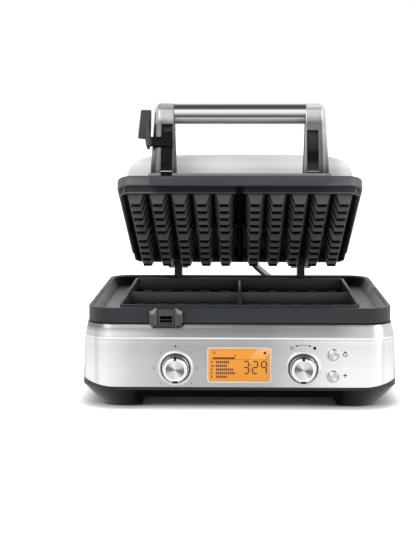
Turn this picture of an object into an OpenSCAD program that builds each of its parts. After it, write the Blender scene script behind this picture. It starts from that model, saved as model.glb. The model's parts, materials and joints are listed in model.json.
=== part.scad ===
// Waffle maker for four square waffles, with a hinged lid and a moat round the lower plate.
// Millimetres, +Z up. The origin is on the table, under the middle of the whole appliance. The front is -Y.
// Places are worked out from the middle of the moat, and on_base() then moves each piece to the origin.
// The lid is drawn shut and is then turned open about its hinge by lid_open.

/* [Waffle plates] */
// Distance from one tooth to the next
tooth_pitch = 28; // [26:0.5:28.5]
// Teeth along each side of one waffle
teeth_per_waffle = 5; // [3:1:5]
// Distance between the facing outer teeth of two waffles
waffle_gap = 39.8; // [38:0.2:44]
// Distance from the outermost teeth's middles to the wall of the plate
edge_margin = 15.1; // [14:0.1:17]
// Width of a tooth at its tip
tooth_tip_w = 11.5; // [8:0.5:14]
// Width of a tooth at its root
tooth_root_w = 23.8; // [20:0.2:25]
// Height of an upper tooth
upper_tooth_h = 17.4; // [14:0.2:19]
// Height of a lower tooth
lower_tooth_h = 16; // [12:0.5:18]
// Gap between the tips of the closed plates
tip_gap = 4.7; // [3:0.1:8]
// Depth of the upper plate below its wall's lip
upper_recess = 7.7; // [5:0.1:10]
// Thickness of both cast plates
plate_t = 4; // [3:0.5:5]
// Thickness of the wall round the waffles at its lip
lip_t = 3.5; // [2.5:0.1:5]
// Outer corner radius of the upper plate
plate_corner_r = 15; // [12:1:16]
// Height of the ridges between the waffles above the lower tooth tips
ridge_rise = 12; // [6:0.5:13]

/* [Moat] */
// Width of the moat's rim
rim_w = 374; // [370:1:378]
// Depth of the moat's rim from front to back
rim_d = 370; // [364:1:378]
// Corner radius of the rim in plan
rim_r = 32; // [28:1:40]
// Height of the rim's outer band
band_h = 18.5; // [16:0.5:24]
// Thickness of the rim's outer wall
rim_t = 4.5; // [3:0.5:6]
// Depth of the trough below the rim
trough_depth = 12.5; // [9:0.5:13]
// Drop from the rim to the lip of the inner wall
lip_drop = 1.5; // [0.5:0.1:3]
// How far the waffles sit behind the middle of the moat
plate_shift = 8.4; // [4:0.2:10]

/* [Body] */
// Width of the steel body at its lower edge
body_w = 389; // [386:1:392]
// Depth of the steel body from front to back
body_d = 380; // [378:1:388]
// Corner radius of the steel body
body_r = 38; // [34:1:46]
// Thickness of the steel skin
skin_t = 2; // [1.5:0.1:3]
// Height of the steel body's lower edge above the table
panel_z = 27; // [24:1:32]
// Height of the upright control panel
panel_h = 60; // [58:1:66]
// Height of the sloping shoulder above the panel
shoulder_h = 18.5; // [14:0.5:22]
// How much the lower edge rises at the two sides
side_rise = 9; // [4:1:12]
// Where the lower edge starts to rise, from the middle
rise_start = 150; // [140:1:155]

/* [Tray and feet] */
// Width of the tray at the bottom
tray_w = 346; // [340:1:350]
// Depth of the tray at the bottom
tray_d = 346; // [330:1:352]
// Corner radius of the tray at the bottom
tray_r = 30; // [24:1:36]
// Thickness of the tray's walls
tray_t = 3; // [2:0.5:4]
// Height of the tray's floor above the table
arch_h = 13; // [10:0.5:15]
// Distance of the feet's inner edges from the middle
foot_x = 115; // [105:1:122]
// Thickness of the rubber feet
rubber_h = 2.5; // [2:0.5:4]
// Radius of the rubber feet
rubber_r = 11; // [8:0.5:13]

/* [Controls] */
// Distance of the dials from the middle
dial_x = 78; // [72:1:84]
// Height of the dials above the table
dial_z = 50.7; // [46:0.1:56]
// Diameter of a dial
dial_d = 31; // [26:0.5:34]
// How far a dial stands out of the panel
dial_h = 17; // [12:0.5:22]
// Diameter of the fixed collar round a dial
collar_d = 44; // [38:0.5:48]
// Diameter of a dial's shaft
shaft_d = 6; // [5:0.5:7]
// Width of the display's frame
display_w = 79; // [70:0.5:84]
// Height of the display's frame
display_h = 44; // [38:0.5:46]
// Height of the display's middle above the table
display_z = 54.6; // [50:0.1:58]
// Distance of the two buttons from the middle
button_x = 114.5; // [112:0.5:120]
// Height of the upper button above the table
button_high_z = 68; // [64:0.5:72]
// Height of the lower button above the table
button_low_z = 41.4; // [38:0.2:46]
// Diameter of a button
button_d = 12.7; // [10:0.1:14]
// How far a button moves when it is pressed
button_travel = 1.2; // [0.8:0.1:1.5]

/* [Lid] */
// How far the lid stands open, in degrees
lid_open = 22.43; // [0:0.01:60]
// Width of the lid's ring
ring_w = 310; // [306:1:314]
// Depth of the lid's ring from front to back
ring_d = 308; // [304:1:312]
// Corner radius of the ring
ring_r = 20; // [16:1:22]
// Height of the ring
ring_h = 13.3; // [12:0.1:15]
// Height of the upper plate's wall below the ring
skirt_h = 9.5; // [8:0.1:11]
// Width of the steel cover at its base
cover_w = 294; // [288:1:298]
// Depth of the steel cover at its base
cover_d = 288; // [280:1:296]
// Height of the steel cover at its edge
cover_h = 36.3; // [32:0.1:40]
// How much the cover's top is domed
cover_crown = 6.2; // [5:0.1:8]

/* [Hinge] */
// Distance of the hinge axis behind the rim
hinge_back = 29.8; // [28:0.2:36]
// Height of the hinge axis above the rim
hinge_up = 23.3; // [22:0.1:28]
// Distance of the two hinge posts from the middle
hinge_x = 91; // [84:1:100]
// Thickness of a hinge post
post_t = 11; // [9:0.5:14]
// Thickness of each hinge ear on the lid
ear_t = 8; // [6:0.5:10]
// Radius of the round hinge ends
knuckle_r = 16; // [14:0.5:18]
// Diameter of the hinge pins
pin_d = 9; // [7:0.5:11]

/* [Handle and latch] */
// Distance of the handle arms' middles from the centre
arm_x = 93.5; // [90:0.5:96]
// Width of an arm at its foot
arm_foot_w = 33; // [30:0.5:36]
// Width of an arm at its head
arm_head_w = 23.5; // [22:0.5:27]
// Depth of an arm from front to back
arm_d = 28; // [26:0.5:32]
// How far the arms' faces stand in front of the rim
arm_reach = 10; // [9.5:0.5:12]
// Height of an arm from the bridge to its head's top
arm_h = 100; // [94:1:104]
// Diameter of the handle's tube
tube_d = 25; // [22:0.5:26]
// Distance of the arms' slots from the middle
slot_x = 89.5; // [88:0.5:91]
// Width of the arms' slots
slot_w = 14; // [12:0.5:15]
// Depth of the arms' slots
slot_deep = 9; // [7:0.5:10]
// How far the latch slides down to lock
latch_travel = 26; // [24:0.5:27]

/* [Hidden] */
$fn = 64;
// Running clearance between pieces that move past each other
clear = 0.3;
// Radial clearance of a pin or shaft in its bore
run = 0.05;
// How far a cut reaches past a face
cut = 1;
// Thickness of the slices that a hull joins
thin = 0.01;

panel_top_z = panel_z + panel_h;
band_z = panel_top_z + shoulder_h;
rim_z = band_z + band_h;
lip_z = rim_z - lip_drop;
panel_y = -body_d / 2;
inside_y = panel_y + skin_t;

waffle_half = waffle_gap / 2 + (teeth_per_waffle - 1) * tooth_pitch + edge_margin;
cavity = 2 * waffle_half;
cavity_r = 7;
wall_out = cavity + 2 * lip_t;

parting_z = lip_z + clear;
upper_root_z = parting_z + upper_recess;
upper_tip_z = upper_root_z - upper_tooth_h;
lower_tip_z = upper_tip_z - tip_gap;
lower_root_z = lower_tip_z - lower_tooth_h;
lower_plate_z = lower_root_z - plate_t;
ridge_z = lower_tip_z + ridge_rise;

ring_z = parting_z + skirt_h;
ring_top_z = ring_z + ring_h;
cover_top_z = ring_top_z + cover_h;
plate_back_z = upper_root_z + plate_t;

hinge_y = rim_d / 2 + hinge_back;
hinge_z = rim_z + hinge_up;
housing_back = hinge_y + 20;
grommet_h = 14;
middle_y = -(panel_y - dial_h + housing_back + grommet_h) / 2;

element_r = 3.5;
element_run = cavity / 2 - 28;
shield_t = 1;
shield_gap = 14;
board_t = 1.6;
board_y = inside_y + 11;
floor_z = arch_h + tray_t;

rim_front_y = -rim_d / 2;
arm_face_y = rim_front_y - arm_reach;
bridge_z = rim_z + 3;
bridge_top_z = bridge_z + 3;
arm_top_z = bridge_z + arm_h;
bar_y = arm_face_y + arm_d / 2;
bar_z = arm_top_z - arm_d / 2 + 1;
slot_top_z = arm_top_z - 32;
catch_back = 3.6;
tongue_t = 4;
tongue_y = rim_front_y - catch_back - clear - tongue_t;
slider_z = bridge_z + 16;
slider_h = 34;
wrap_h = 12;
wrap_t = 2.4;
tab_x = arm_x + arm_foot_w / 2 + clear;

// A rounded rectangle in plan, made of true arcs.
module rounded(w, d, r) {
  square([w - 2 * r, d], center = true);
  square([w, d - 2 * r], center = true);
  for (x = [-1, 1], y = [-1, 1])
    translate([x * (w / 2 - r), y * (d / 2 - r)]) circle(r);
}

module slab(w, d, h, r) {
  linear_extrude(h) rounded(w, d, r);
}

// A tapered block between two rounded rectangles.
module taper(low, high, h) {
  hull() {
    slab(low[0], low[1], thin, low[2]);
    translate([0, 0, h - thin]) slab(high[0], high[1], thin, high[2]);
  }
}

// A round bar along X between x0 and x1.
module bar_x(x0, x1, r) {
  translate([x0, 0, 0]) rotate([0, 90, 0]) cylinder(r = r, h = x1 - x0);
}

// Places children on the control panel, with +Z out of the panel.
module on_panel(x, z, y = panel_y) {
  translate([x, y, z]) rotate([90, 0, 0]) children();
}

// Moves a piece so that the origin lies under the middle of the whole appliance.
module on_base() {
  translate([0, middle_y, 0]) children();
}

// Turns the lid's pieces from shut to the angle at which the lid stands.
module on_lid() {
  translate([0, hinge_y + middle_y, hinge_z]) rotate([-lid_open, 0, 0])
    translate([0, -hinge_y, -hinge_z]) children();
}

// Runs a profile drawn in Y and Z along X, from -w/2 to w/2.
module along_x(w) {
  translate([-w / 2, 0, 0]) rotate([90, 0, 90]) linear_extrude(w) children();
}

// Runs a profile drawn in X and Z along Y, from -d/2 to d/2.
module along_y(d) {
  translate([0, d / 2, 0]) rotate([90, 0, 0]) linear_extrude(d) children();
}

// Middles of the teeth along one side of the plate.
function tooth_places() = [
  for (side = [-1, 1], n = [0 : teeth_per_waffle - 1]) side * (waffle_gap / 2 + n * tooth_pitch)
];

// The side view of one row of teeth that point up, on a strip that reaches down by base.
module tooth_row(h, base, length) {
  translate([-length / 2, -base]) square([length, base]);
  for (x = tooth_places())
    translate([x, 0])
      polygon([
        [-tooth_root_w / 2, -base / 2], [tooth_root_w / 2, -base / 2], [tooth_root_w / 2, 0],
        [tooth_tip_w / 2, h], [-tooth_tip_w / 2, h], [-tooth_root_w / 2, 0]
      ]);
}

// A square field of pyramid-shaped teeth: two rows of ridges crossed with each other.
module tooth_field(h, base) {
  intersection() {
    along_y(cavity + 2 * lip_t) tooth_row(h, base, cavity + 2 * lip_t);
    along_x(cavity + 2 * lip_t) tooth_row(h, base, cavity + 2 * lip_t);
  }
}

// Ridges that part the four waffles, as a cross of tapered bars on z = 0.
module ridge_cross(h, top_w, foot_w, length) {
  profile = [[-foot_w / 2, -thin], [foot_w / 2, -thin], [top_w / 2, h], [-top_w / 2, h]];
  along_y(length) polygon(profile);
  along_x(length) polygon(profile);
}

/* ---- Base ---- */

// The steel body's outline at a height, as width, depth and corner radius.
function skin_low(t) = [body_w - 2 * t, body_d - 2 * t, body_r - t];
function skin_fold(t) = [body_w - 5 - 2 * t, body_d - 2 * t, body_r - 1 - t];
function skin_top(t) = [rim_w + 2 - 2 * t, rim_d - 2 * t, rim_r - t];
function tray_low(t) = [tray_w - 2 * t, tray_d - 2 * t, tray_r - t];

// The body's solid form, inset by t, reaching past its two ends by extra.
module skin_block(t, extra = 0) {
  hull() {
    translate([0, 0, panel_z - extra]) outline_slice(skin_low(t));
    translate([0, 0, panel_top_z]) outline_slice(skin_fold(t));
    translate([0, 0, band_z - thin + extra]) outline_slice(skin_top(t));
  }
}

module outline_slice(o) {
  slab(o[0], o[1], thin, o[2], $fn = 48);
}

// The region under the steel body's lower edge, which rises in a faceted curve at the two sides.
module rise_profile() {
  reach = body_w / 2 - rise_start;
  steps = 4;
  for (s = [-1, 1]) mirror([s < 0 ? 1 : 0, 0]) polygon(concat(
    [[rise_start, panel_z - side_rise], [rise_start, panel_z + 0.05]],
    [for (n = [1 : steps]) [rise_start + reach * n / steps, panel_z + side_rise * pow(n / steps, 2)]],
    [[rise_start + reach + 20, panel_z + side_rise], [rise_start + reach + 20, panel_z - side_rise]]
  ));
}

module panel_holes() {
  translate([grommet_x, body_d / 2 - 5, cord_z]) rotate([-90, 0, 0]) cylinder(d = 8, h = 10);
  for (x = [-dial_x, dial_x]) on_panel(x, dial_z, panel_y + 5) cylinder(d = shaft_d + 4, h = 10);
  for (z = [button_high_z, button_low_z])
    on_panel(button_x, z, panel_y + 5) cylinder(d = button_d - 4, h = 10);
  on_panel(0, display_z, panel_y + 5) slab(display_w - 5, display_h - 5, 10, 2);
}

module body_shell() {
  color("silver") on_base() difference() {
    skin_block(0);
    skin_block(skin_t, 0.2);
    along_y(body_d + 2 * cut) rise_profile();
    panel_holes();
  }
}

module arch_profile(half) {
  polygon([
    [-half - 6, -cut], [half + 6, -cut], [half + 6, rubber_h], [half, arch_h],
    [-half, arch_h], [-half - 6, rubber_h]
  ]);
}

tray_posts = [for (x = [-44, 44], y = [96, 152]) [x, y]];
foot_places = [for (x = [-1, 1], y = [-1, 1]) [x * (foot_x + tray_w / 2) / 2, y * (tray_d / 2 - 27)]];
screw_places = [for (x = [-1, 0, 1], y = [-1, 1]) [x * (tray_w / 2 - 66), y * (tray_d / 2 - 32)]];

module base_tray() {
  color([0.09, 0.1, 0.11]) on_base() difference() {
    union() {
      difference() {
        union() {
          translate([0, 0, rubber_h]) taper(tray_low(0), skin_low(0), panel_z - rubber_h);
          intersection() {
            skin_block(0);
            along_y(body_d + 2 * cut) rise_profile();
          }
          translate([0, 0, panel_z - 1])
            slab(body_w - 2 * skin_t - 2 * clear - 4, body_d - 2 * skin_t - 2 * clear, 8,
              body_r - skin_t - clear);
        }
        translate([0, 0, floor_z]) taper(
          [tray_w - 2 * tray_t + 16, tray_d - 2 * tray_t + 16, tray_r], 
          [body_w - 2 * tray_t - 12, body_d - 4 * tray_t, body_r - 2 * tray_t],
            panel_z + side_rise + cut - floor_z
        );
        along_y(tray_d + 60) arch_profile(foot_x);
        along_x(tray_w + 60) arch_profile(foot_x);
      }
      for (p = tray_posts) translate([p[0], p[1], floor_z - thin]) cylinder(d = 8, h = 8);
      for (s = [-1, 1]) translate([s * 60 - 4, board_y - 5, floor_z - thin]) cube([8, 14, 8]);
    }
    for (s = [-1, 1])
      translate([s * 60 - 5, board_y - clear, floor_z + 3]) cube([10, board_t + 2 * clear, 10]);
    for (p = tray_posts) translate([p[0], p[1], floor_z]) cylinder(d = 2.5, h = 12);
    for (p = screw_places) translate([p[0], p[1], 0]) cylinder(d = 4.4, h = 40);
    for (n = [-4 : 4]) translate([n * 16 - 3, -30, 0]) slab_slot(6, 50);
  }
}

// A slot with round ends through the tray's floor.
module slab_slot(w, l) {
  translate([w / 2, 0, 0]) linear_extrude(floor_z + cut) {
    square([w, l - w], center = true);
    for (s = [-1, 1]) translate([0, s * (l - w) / 2]) circle(w / 2);
  }
}

module rubber_feet() {
  color([0.05, 0.05, 0.05]) on_base() for (p = foot_places)
    translate([p[0], p[1], 0]) rotate_extrude() polygon([
      [0, 0], [rubber_r - 1, 0], [rubber_r, 1], [rubber_r, rubber_h], [0, rubber_h]
    ]);
}

module lower_plate() {
  out = [rim_w, rim_d, rim_r];
  color([0.25, 0.27, 0.29]) on_base() {
    difference() {
      translate([0, 0, band_z]) slab(rim_w, rim_d, band_h, rim_r);
      difference() {
        translate([0, 0, rim_z - trough_depth]) taper(
          [rim_w - 2 * rim_t - 18, rim_d - 2 * rim_t - 18, rim_r - rim_t - 5],
          [rim_w - 2 * rim_t + 2, rim_d - 2 * rim_t + 2, rim_r - rim_t + 1], trough_depth + cut
        );
        translate([0, plate_shift, band_z]) slab(wall_out, wall_out, lip_z - band_z, cavity_r + lip_t);
      }
      difference() {
        translate([0, 0, band_z - cut])
          slab(rim_w - 2 * rim_t - 20, rim_d - 2 * rim_t - 20, cut + band_h - trough_depth - plate_t + 1,
            rim_r - 14);
        translate([0, plate_shift, band_z - 2 * cut]) slab(wall_out, wall_out, band_h, cavity_r + lip_t);
      }
      translate([0, plate_shift, 0]) slab(cavity, cavity, 300, cavity_r);
      translate([-slot_x - slot_w / 2, rim_front_y - cut, window_z]) cube([slot_w, cut + pocket, window_h]);
      for (s = [-1, 1]) translate([s * (rim_w / 2 - 30), 0, 0])
        cylinder(d = 3, h = rim_z - trough_depth - 2.5);
    }
    translate([0, plate_shift, lower_plate_z]) difference() {
      slab(wall_out, wall_out, band_z - lower_plate_z, cavity_r + lip_t);
      translate([0, 0, plate_t]) slab(cavity, cavity, 200, cavity_r);
    }
    translate([0, plate_shift, lower_root_z]) intersection() {
      tooth_field(lower_tooth_h, 1);
      translate([0, 0, -1]) slab(cavity + lip_t, cavity + lip_t, 60, cavity_r + lip_t / 2);
    }
    translate([0, plate_shift, lower_root_z]) ridge_cross(ridge_z - lower_root_z, 2.6, 9, cavity + lip_t);
  }
}

catch_w = 40;
catch_d = 11;
catch_top = rim_z + 1;
catch_low = rim_z - 22;
window_z = rim_z - 18;
window_h = 8.6;
pocket = 2.6;
catch_floor_t = 1.6;

// The panel with a window for the latch's barb, between two bevelled cheeks.
module latch_catch() {
  gap = slot_w / 2 + 1.6;
  cheek = catch_w / 2 - gap;
  color([0.2, 0.21, 0.23]) on_base() translate([-slot_x, rim_front_y, 0]) difference() {
    union() {
      translate([-catch_w / 2 + 2, -catch_back, catch_low + 2])
        cube([catch_w - 4, catch_back, rim_z - 1 - catch_low - 2]);
      for (s = [0, 1]) mirror([s, 0, 0]) translate([gap, 0, 0]) {
        rotate([90, 0, 0]) linear_extrude(catch_d - 3) polygon([
          [0, catch_low + 3], [0, catch_top - 1], [cheek * 0.25, catch_top], [cheek * 0.4, catch_top - 0.6],
          [cheek, catch_top - 5.5], [cheek, catch_low + 6], [cheek * 0.6, catch_low], [cheek * 0.2,
            catch_low]
        ]);
        translate([0, -catch_d + 3 + thin, 0]) rotate([90, 0, 0]) linear_extrude(3) polygon([
          [0.6, catch_low + 5], [0.6, catch_top - 4], [cheek * 0.3, catch_top - 2.4],
          [cheek - 1.6, catch_top - 7], [cheek - 1.6, catch_low + 7], [cheek * 0.4, catch_low + 3]
        ]);
      }
      translate([-gap - 1, -catch_d + 4, catch_low]) cube([2 * gap + 2, catch_d - 4, catch_floor_t]);
    }
    translate([-slot_w / 2 - 0.6, -catch_back - cut, window_z])
      cube([slot_w + 1.2, catch_back + 2 * cut, window_h]);
    translate([-catch_w / 2 - cut, -5, catch_low - cut])
      cube([catch_w + 2 * cut, 5 + cut, band_z - catch_low + cut]);
  }
}

// A U-shaped heating tube that lies on z = 0: straight runs along Y joined by half turns.
module element(runs, length, pitch) {
  x0 = -(runs - 1) * pitch / 2;
  for (n = [0 : runs - 1])
    translate([x0 + n * pitch, -length / 2, 0]) rotate([-90, 0, 0]) cylinder(r = element_r, h = length);
  for (n = [0 : runs - 2])
    translate([x0 + (n + 0.5) * pitch, (n % 2 == 0 ? 1 : -1) * length / 2, 0])
      rotate([0, 0, n % 2 == 0 ? 0 : 180])
        rotate_extrude(angle = 180) translate([pitch / 2, 0]) circle(element_r);
}

element_pitch = 2 * element_run / 5;
element_len = cavity - 90;

module lower_element() {
  color([0.45, 0.46, 0.48]) on_base() translate([0, plate_shift, lower_plate_z - element_r - 0.2])
    element(6, element_len, element_pitch);
}

// A strap that holds every run of a heating tube against the plate above it.
module clamp_strap(y) {
  w = cavity - 24;
  translate([-w / 2, y - 6, -2 * element_r - 2.2]) cube([w, 12, 1.6]);
  for (s = [-1, 1]) translate([s * (w / 2 - 5), y, -2 * element_r - 2.2])
    cylinder(d = 8, h = 2 * element_r + 2.2);
}

module lower_clamps() {
  color([0.7, 0.71, 0.72]) on_base() translate([0, plate_shift, lower_plate_z])
    for (s = [-1, 1]) clamp_strap(s * element_len / 4);
}

module shield_pan(side) {
  difference() {
    slab(side, side, shield_t + 8, 12);
    translate([0, 0, shield_t]) slab(side - 2 * shield_t, side - 2 * shield_t, 20, 11);
  }
}

shield_side = cavity - 6;
shield_post = cavity / 2 - 16;

module lower_shield() {
  color([0.78, 0.79, 0.8]) on_base() translate([0, plate_shift, lower_plate_z - shield_gap]) {
    shield_pan(shield_side);
    for (x = [-1, 1], y = [-1, 1])
      translate([x * shield_post, y * shield_post, shield_t - thin])
        cylinder(d = 7, h = shield_gap - shield_t + thin);
  }
}

module thermostat() {
  cylinder(d = 15, h = 6);
  translate([-12, -4, 0]) cube([24, 8, 1]);
  for (s = [-1, 1]) translate([s * 4, -0.4, 6 - thin]) translate([-1.5, 0, 0]) cube([3, 0.8, 5]);
}

module lower_thermostat() {
  color([0.75, 0.72, 0.65]) on_base() translate([0, plate_shift, lower_plate_z])
    rotate([180, 0, 0]) thermostat();
}

/* ---- Controls ---- */

frame_proud = 1.4;

module display_frame() {
  color([0.86, 0.87, 0.88]) on_base() on_panel(0, display_z) difference() {
    union() {
      slab(display_w, display_h, frame_proud, 4.5);
      translate([0, 0, -skin_t - 1])
        slab(display_w - 5 - 2 * clear, display_h - 5 - 2 * clear, skin_t + 1 + thin, 2);
    }
    translate([0, 0, -10]) slab(display_w - 8, display_h - 8, 20, 1.5);
    translate([0, 0, 0.2]) slab(display_w - 3, display_h - 3, 10, 3);
  }
}

module display_window() {
  color([0.98, 0.68, 0.2]) on_base() on_panel(0, display_z)
    translate([0, 0, 0.2]) slab(display_w - 3 - 0.4, display_h - 3 - 0.4, 1, 2.8);
}

module display_module() {
  color([0.2, 0.4, 0.25]) on_base() on_panel(0, display_z) {
    translate([0, 0, -skin_t - 1 - clear - 5]) slab(display_w - 6, display_h - 3, 5, 1);
    translate([0, 0, -skin_t - 11]) slab(display_w - 20, display_h - 16, 11 - 1 - clear - 4, 1);
  }
}

module control_board() {
  w = 2 * (button_x + 14);
  color([0.1, 0.35, 0.2]) on_base() difference() {
    translate([-w / 2, board_y, floor_z + 3 + clear]) cube([w, board_t, button_high_z + 12 - floor_z]);
    for (x = [-dial_x, dial_x]) translate([x, board_y - 1, dial_z]) rotate([-90, 0, 0])
      cylinder(d = 4, h = 4);
  }
}

module encoder(x) {
  color([0.55, 0.56, 0.58]) on_base() on_panel(x, dial_z) difference() {
    union() {
      translate([-7, -7, -skin_t - 11]) cube([14, 14, 9]);
      translate([0, 0, -skin_t - 2 - thin]) cylinder(d = shaft_d + 3.4, h = skin_t + 3.4);
    }
    translate([0, 0, -skin_t - 9]) cylinder(r = shaft_d / 2 + run, h = 20);
  }
}

module menu_encoder() { encoder(-dial_x); }
module browning_encoder() { encoder(dial_x); }

module dial_collars() {
  color([0.8, 0.81, 0.82]) on_base() for (x = [-dial_x, dial_x]) on_panel(x, dial_z) rotate_extrude()
    polygon([
    [shaft_d / 2 + 2.4, 0], [collar_d / 2, 0], [collar_d / 2, 1], [collar_d / 2 - 2.5, 2.6],
    [dial_d / 2 + 2, 2.6], [dial_d / 2 + 1.6, 1.6], [shaft_d / 2 + 2.4, 1.6]
  ]);
}

module button_collars() {
  color([0.83, 0.84, 0.85]) on_base() for (z = [button_high_z, button_low_z]) on_panel(button_x, z)
    rotate_extrude()
    polygon([
      [button_d / 2 + clear, 0], [button_d / 2 + 2.1, 0], [button_d / 2 + 2.1, 0.8],
      [button_d / 2 + 1, 1.8], [button_d / 2 + clear, 1.2]
    ]);
}

module tact_switches() {
  color([0.12, 0.12, 0.13]) on_base() for (z = [button_high_z, button_low_z]) on_panel(button_x, z) {
    translate([-4, -4, -skin_t - 11]) cube([8, 8, 5]);
    translate([0, 0, -skin_t - 6 - thin]) cylinder(d = 4, h = 1.2);
  }
}

// A dial that stands out of the panel at its own collar.
module dial_knob(x) {
  r = dial_d / 2;
  color([0.82, 0.83, 0.84]) on_base() on_panel(x, dial_z) {
    difference() {
      rotate_extrude() polygon([
        [0, 1.6 + clear], [r + 1, 1.6 + clear], [r + 1, 4.4], [r, 5.2], [r - 0.6, dial_h - 1.4], [r - 2,
          dial_h],
        [r - 3.2, dial_h - 0.2], [r - 5, dial_h - 1.6], [0, dial_h - 1]
      ]);
      translate([-1.6, r - 5.4, dial_h - 2.6]) cube([3.2, 8, 5]);
      translate([-3.4, -r - 2, dial_h - 2.6]) cube([6.8, 4, 5]);
    }
    translate([0, 0, -skin_t - 8]) cylinder(d = shaft_d, h = skin_t + 8 + 3);
  }
}

module dial_pointer(x) {
  r = dial_d / 2;
  color([0.08, 0.08, 0.09]) on_base() on_panel(x, dial_z)
    translate([-1.5, r - 5.3, dial_h - 2.6]) cube([3, 4.2, 2.2]);
}

module menu_dial() { dial_knob(-dial_x); }
module browning_dial() { dial_knob(dial_x); }
module menu_pointer() { dial_pointer(-dial_x); }
module browning_pointer() { dial_pointer(dial_x); }

module push_button(z) {
  r = button_d / 2;
  color([0.85, 0.86, 0.87]) on_base() on_panel(button_x, z) {
    rotate_extrude() polygon([
      [0, button_travel + clear], [r, button_travel + clear], [r, 3], [r - 0.8, 3.8], [0, 3.3]
    ]);
    translate([0, 0, -skin_t - 2.4])
      cylinder(d = button_d - 5, h = skin_t + 2.4 + button_travel + clear + 1);
  }
}

module restart_button() { push_button(button_high_z); }
module more_button() { push_button(button_low_z); }

/* ---- Power and rear ---- */

power_z = floor_z + 8;

module power_board() {
  color([0.12, 0.4, 0.22]) on_base() {
    difference() {
      translate([-52, 88, power_z]) cube([104, 72, board_t]);
      for (p = tray_posts) translate([p[0], p[1], power_z - 1]) cylinder(d = 3, h = 4);
    }
    translate([-34, 100, power_z + board_t - thin]) cube([26, 22, 20]);
    translate([10, 102, power_z + board_t - thin]) cube([12, 18, 15]);
    translate([26, 102, power_z + board_t - thin]) cube([12, 18, 15]);
    translate([0, 146, power_z + board_t - thin]) cylinder(d = 12, h = 18);
    translate([-30, 134, power_z + board_t - thin]) cube([4, 20, 24]);
  }
}

module board_screws() {
  color([0.75, 0.76, 0.78]) on_base() for (p = tray_posts) translate([p[0], p[1], power_z + board_t]) {
    cylinder(d = 5, h = 1.8);
    translate([0, 0, -8]) cylinder(d = 2.4, h = 8 + thin);
  }
}

module terminal_block() {
  color([0.85, 0.85, 0.82]) on_base() translate([58, 120, floor_z]) difference() {
    cube([40, 22, 16]);
    for (n = [0 : 2]) translate([6.5 + n * 13.5, -cut, 9]) rotate([-90, 0, 0]) cylinder(d = 5, h = 24);
  }
}

grommet_x = 120;
cord_z = 44;

module cord_grommet() {
  color([0.05, 0.05, 0.05]) on_base() translate([grommet_x, housing_back, cord_z]) rotate([-90, 0, 0])
    rotate_extrude() polygon([
    [4.5, -12], [9, -12], [9, 0], [12, 0], [12, 3], [7, grommet_h], [4.5, grommet_h]
  ]);
}

module base_screws() {
  color([0.6, 0.61, 0.62]) on_base() for (p = screw_places) translate([p[0], p[1], arch_h - 2.4]) {
    cylinder(d = 8, h = 2.4);
    cylinder(d = 4, h = 9);
  }
}

/* ---- Hinge ---- */

housing_w = 2 * (hinge_x + 44);
housing_top = panel_top_z + 10;
post_r = knuckle_r - 2;
ear_gap = post_t / 2 + 1;

module hinge_housing() {
  front = body_d / 2;
  color([0.1, 0.11, 0.12]) on_base() difference() {
    along_x(housing_w) {
      polygon([
        [front, panel_z + 8], [housing_back - 6, panel_z + 8], [housing_back, panel_z + 14],
        [housing_back, housing_top - 12], [housing_back - 12, housing_top], [front + 8, housing_top],
        [front + 2.4, panel_top_z], [front, panel_top_z]
      ]);
    }
    for (x = [-hinge_x, hinge_x]) translate([x - post_t / 2, hinge_y - post_r, panel_z + 20])
      cube([post_t, 2 * post_r, 100]);
    translate([grommet_x, housing_back - 40, cord_z]) rotate([-90, 0, 0]) cylinder(d = 18, h = 60);
    translate([conduit_x, conduit_y, housing_top - 12]) cylinder(d = 14, h = 20);
  }
}

module hinge_posts() {
  color([0.16, 0.17, 0.18]) on_base() for (x = [-hinge_x, hinge_x]) translate([x, 0, 0]) difference() {
    along_x(post_t) {
      translate([hinge_y - post_r, panel_z + 20]) square([2 * post_r, hinge_z - panel_z - 20]);
      translate([hinge_y, hinge_z]) circle(post_r);
    }
    translate([0, hinge_y, hinge_z]) bar_x(-post_t, post_t, pin_d / 2);
  }
}

module hinge_pins() {
  half = ear_gap + ear_t + 1.5;
  color([0.7, 0.71, 0.72]) on_base() for (x = [-hinge_x, hinge_x]) translate([x, hinge_y, hinge_z]) {
    bar_x(-half, half, pin_d / 2);
    for (s = [-1, 1]) translate([s > 0 ? half - thin : -half - 2 + thin, 0, 0])
      bar_x(0, 2, pin_d / 2 + 2.5);
  }
}

module hinge_washers() {
  color([0.9, 0.9, 0.85]) on_base() for (x = [-hinge_x, hinge_x], s = [-1, 1])
    translate([x + s * (post_t / 2 + 0.45) - 0.4, hinge_y, hinge_z]) difference() {
      bar_x(0, 0.8, pin_d / 2 + 5);
      bar_x(-cut, 0.8 + cut, pin_d / 2 + run);
    }
}

ear_low_z = ring_z + 2;
ear_foot_t = 6;

module ear_profile() {
  back = plate_shift + ring_d / 2;
  difference() {
    union() {
      polygon([
        [back, ear_low_z], [hinge_y, hinge_z - knuckle_r], [hinge_y + knuckle_r, hinge_z],
        [hinge_y, hinge_z + knuckle_r], [back, ring_top_z]
      ]);
      translate([hinge_y, hinge_z]) circle(knuckle_r);
    }
    translate([hinge_y, hinge_z]) circle(pin_d / 2 + run);
  }
}

module hinge_arms() {
  color([0.24, 0.26, 0.28]) on_lid() for (x = [-hinge_x, hinge_x]) {
    for (s = [-1, 1]) translate([x + s * (ear_gap + ear_t / 2), 0, 0]) along_x(ear_t) ear_profile();
    translate([x - ear_gap - ear_t, plate_shift + ring_d / 2, ear_low_z])
      cube([2 * (ear_gap + ear_t), ear_foot_t, ring_top_z - ear_low_z]);
  }
}

// Turns a point of the shut lid to where it is when the lid stands open.
function lid_point(p) = [
  p[0],
  hinge_y + (p[1] - hinge_y) * cos(lid_open) + (p[2] - hinge_z) * sin(lid_open),
  hinge_z - (p[1] - hinge_y) * sin(lid_open) + (p[2] - hinge_z) * cos(lid_open)
];

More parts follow.
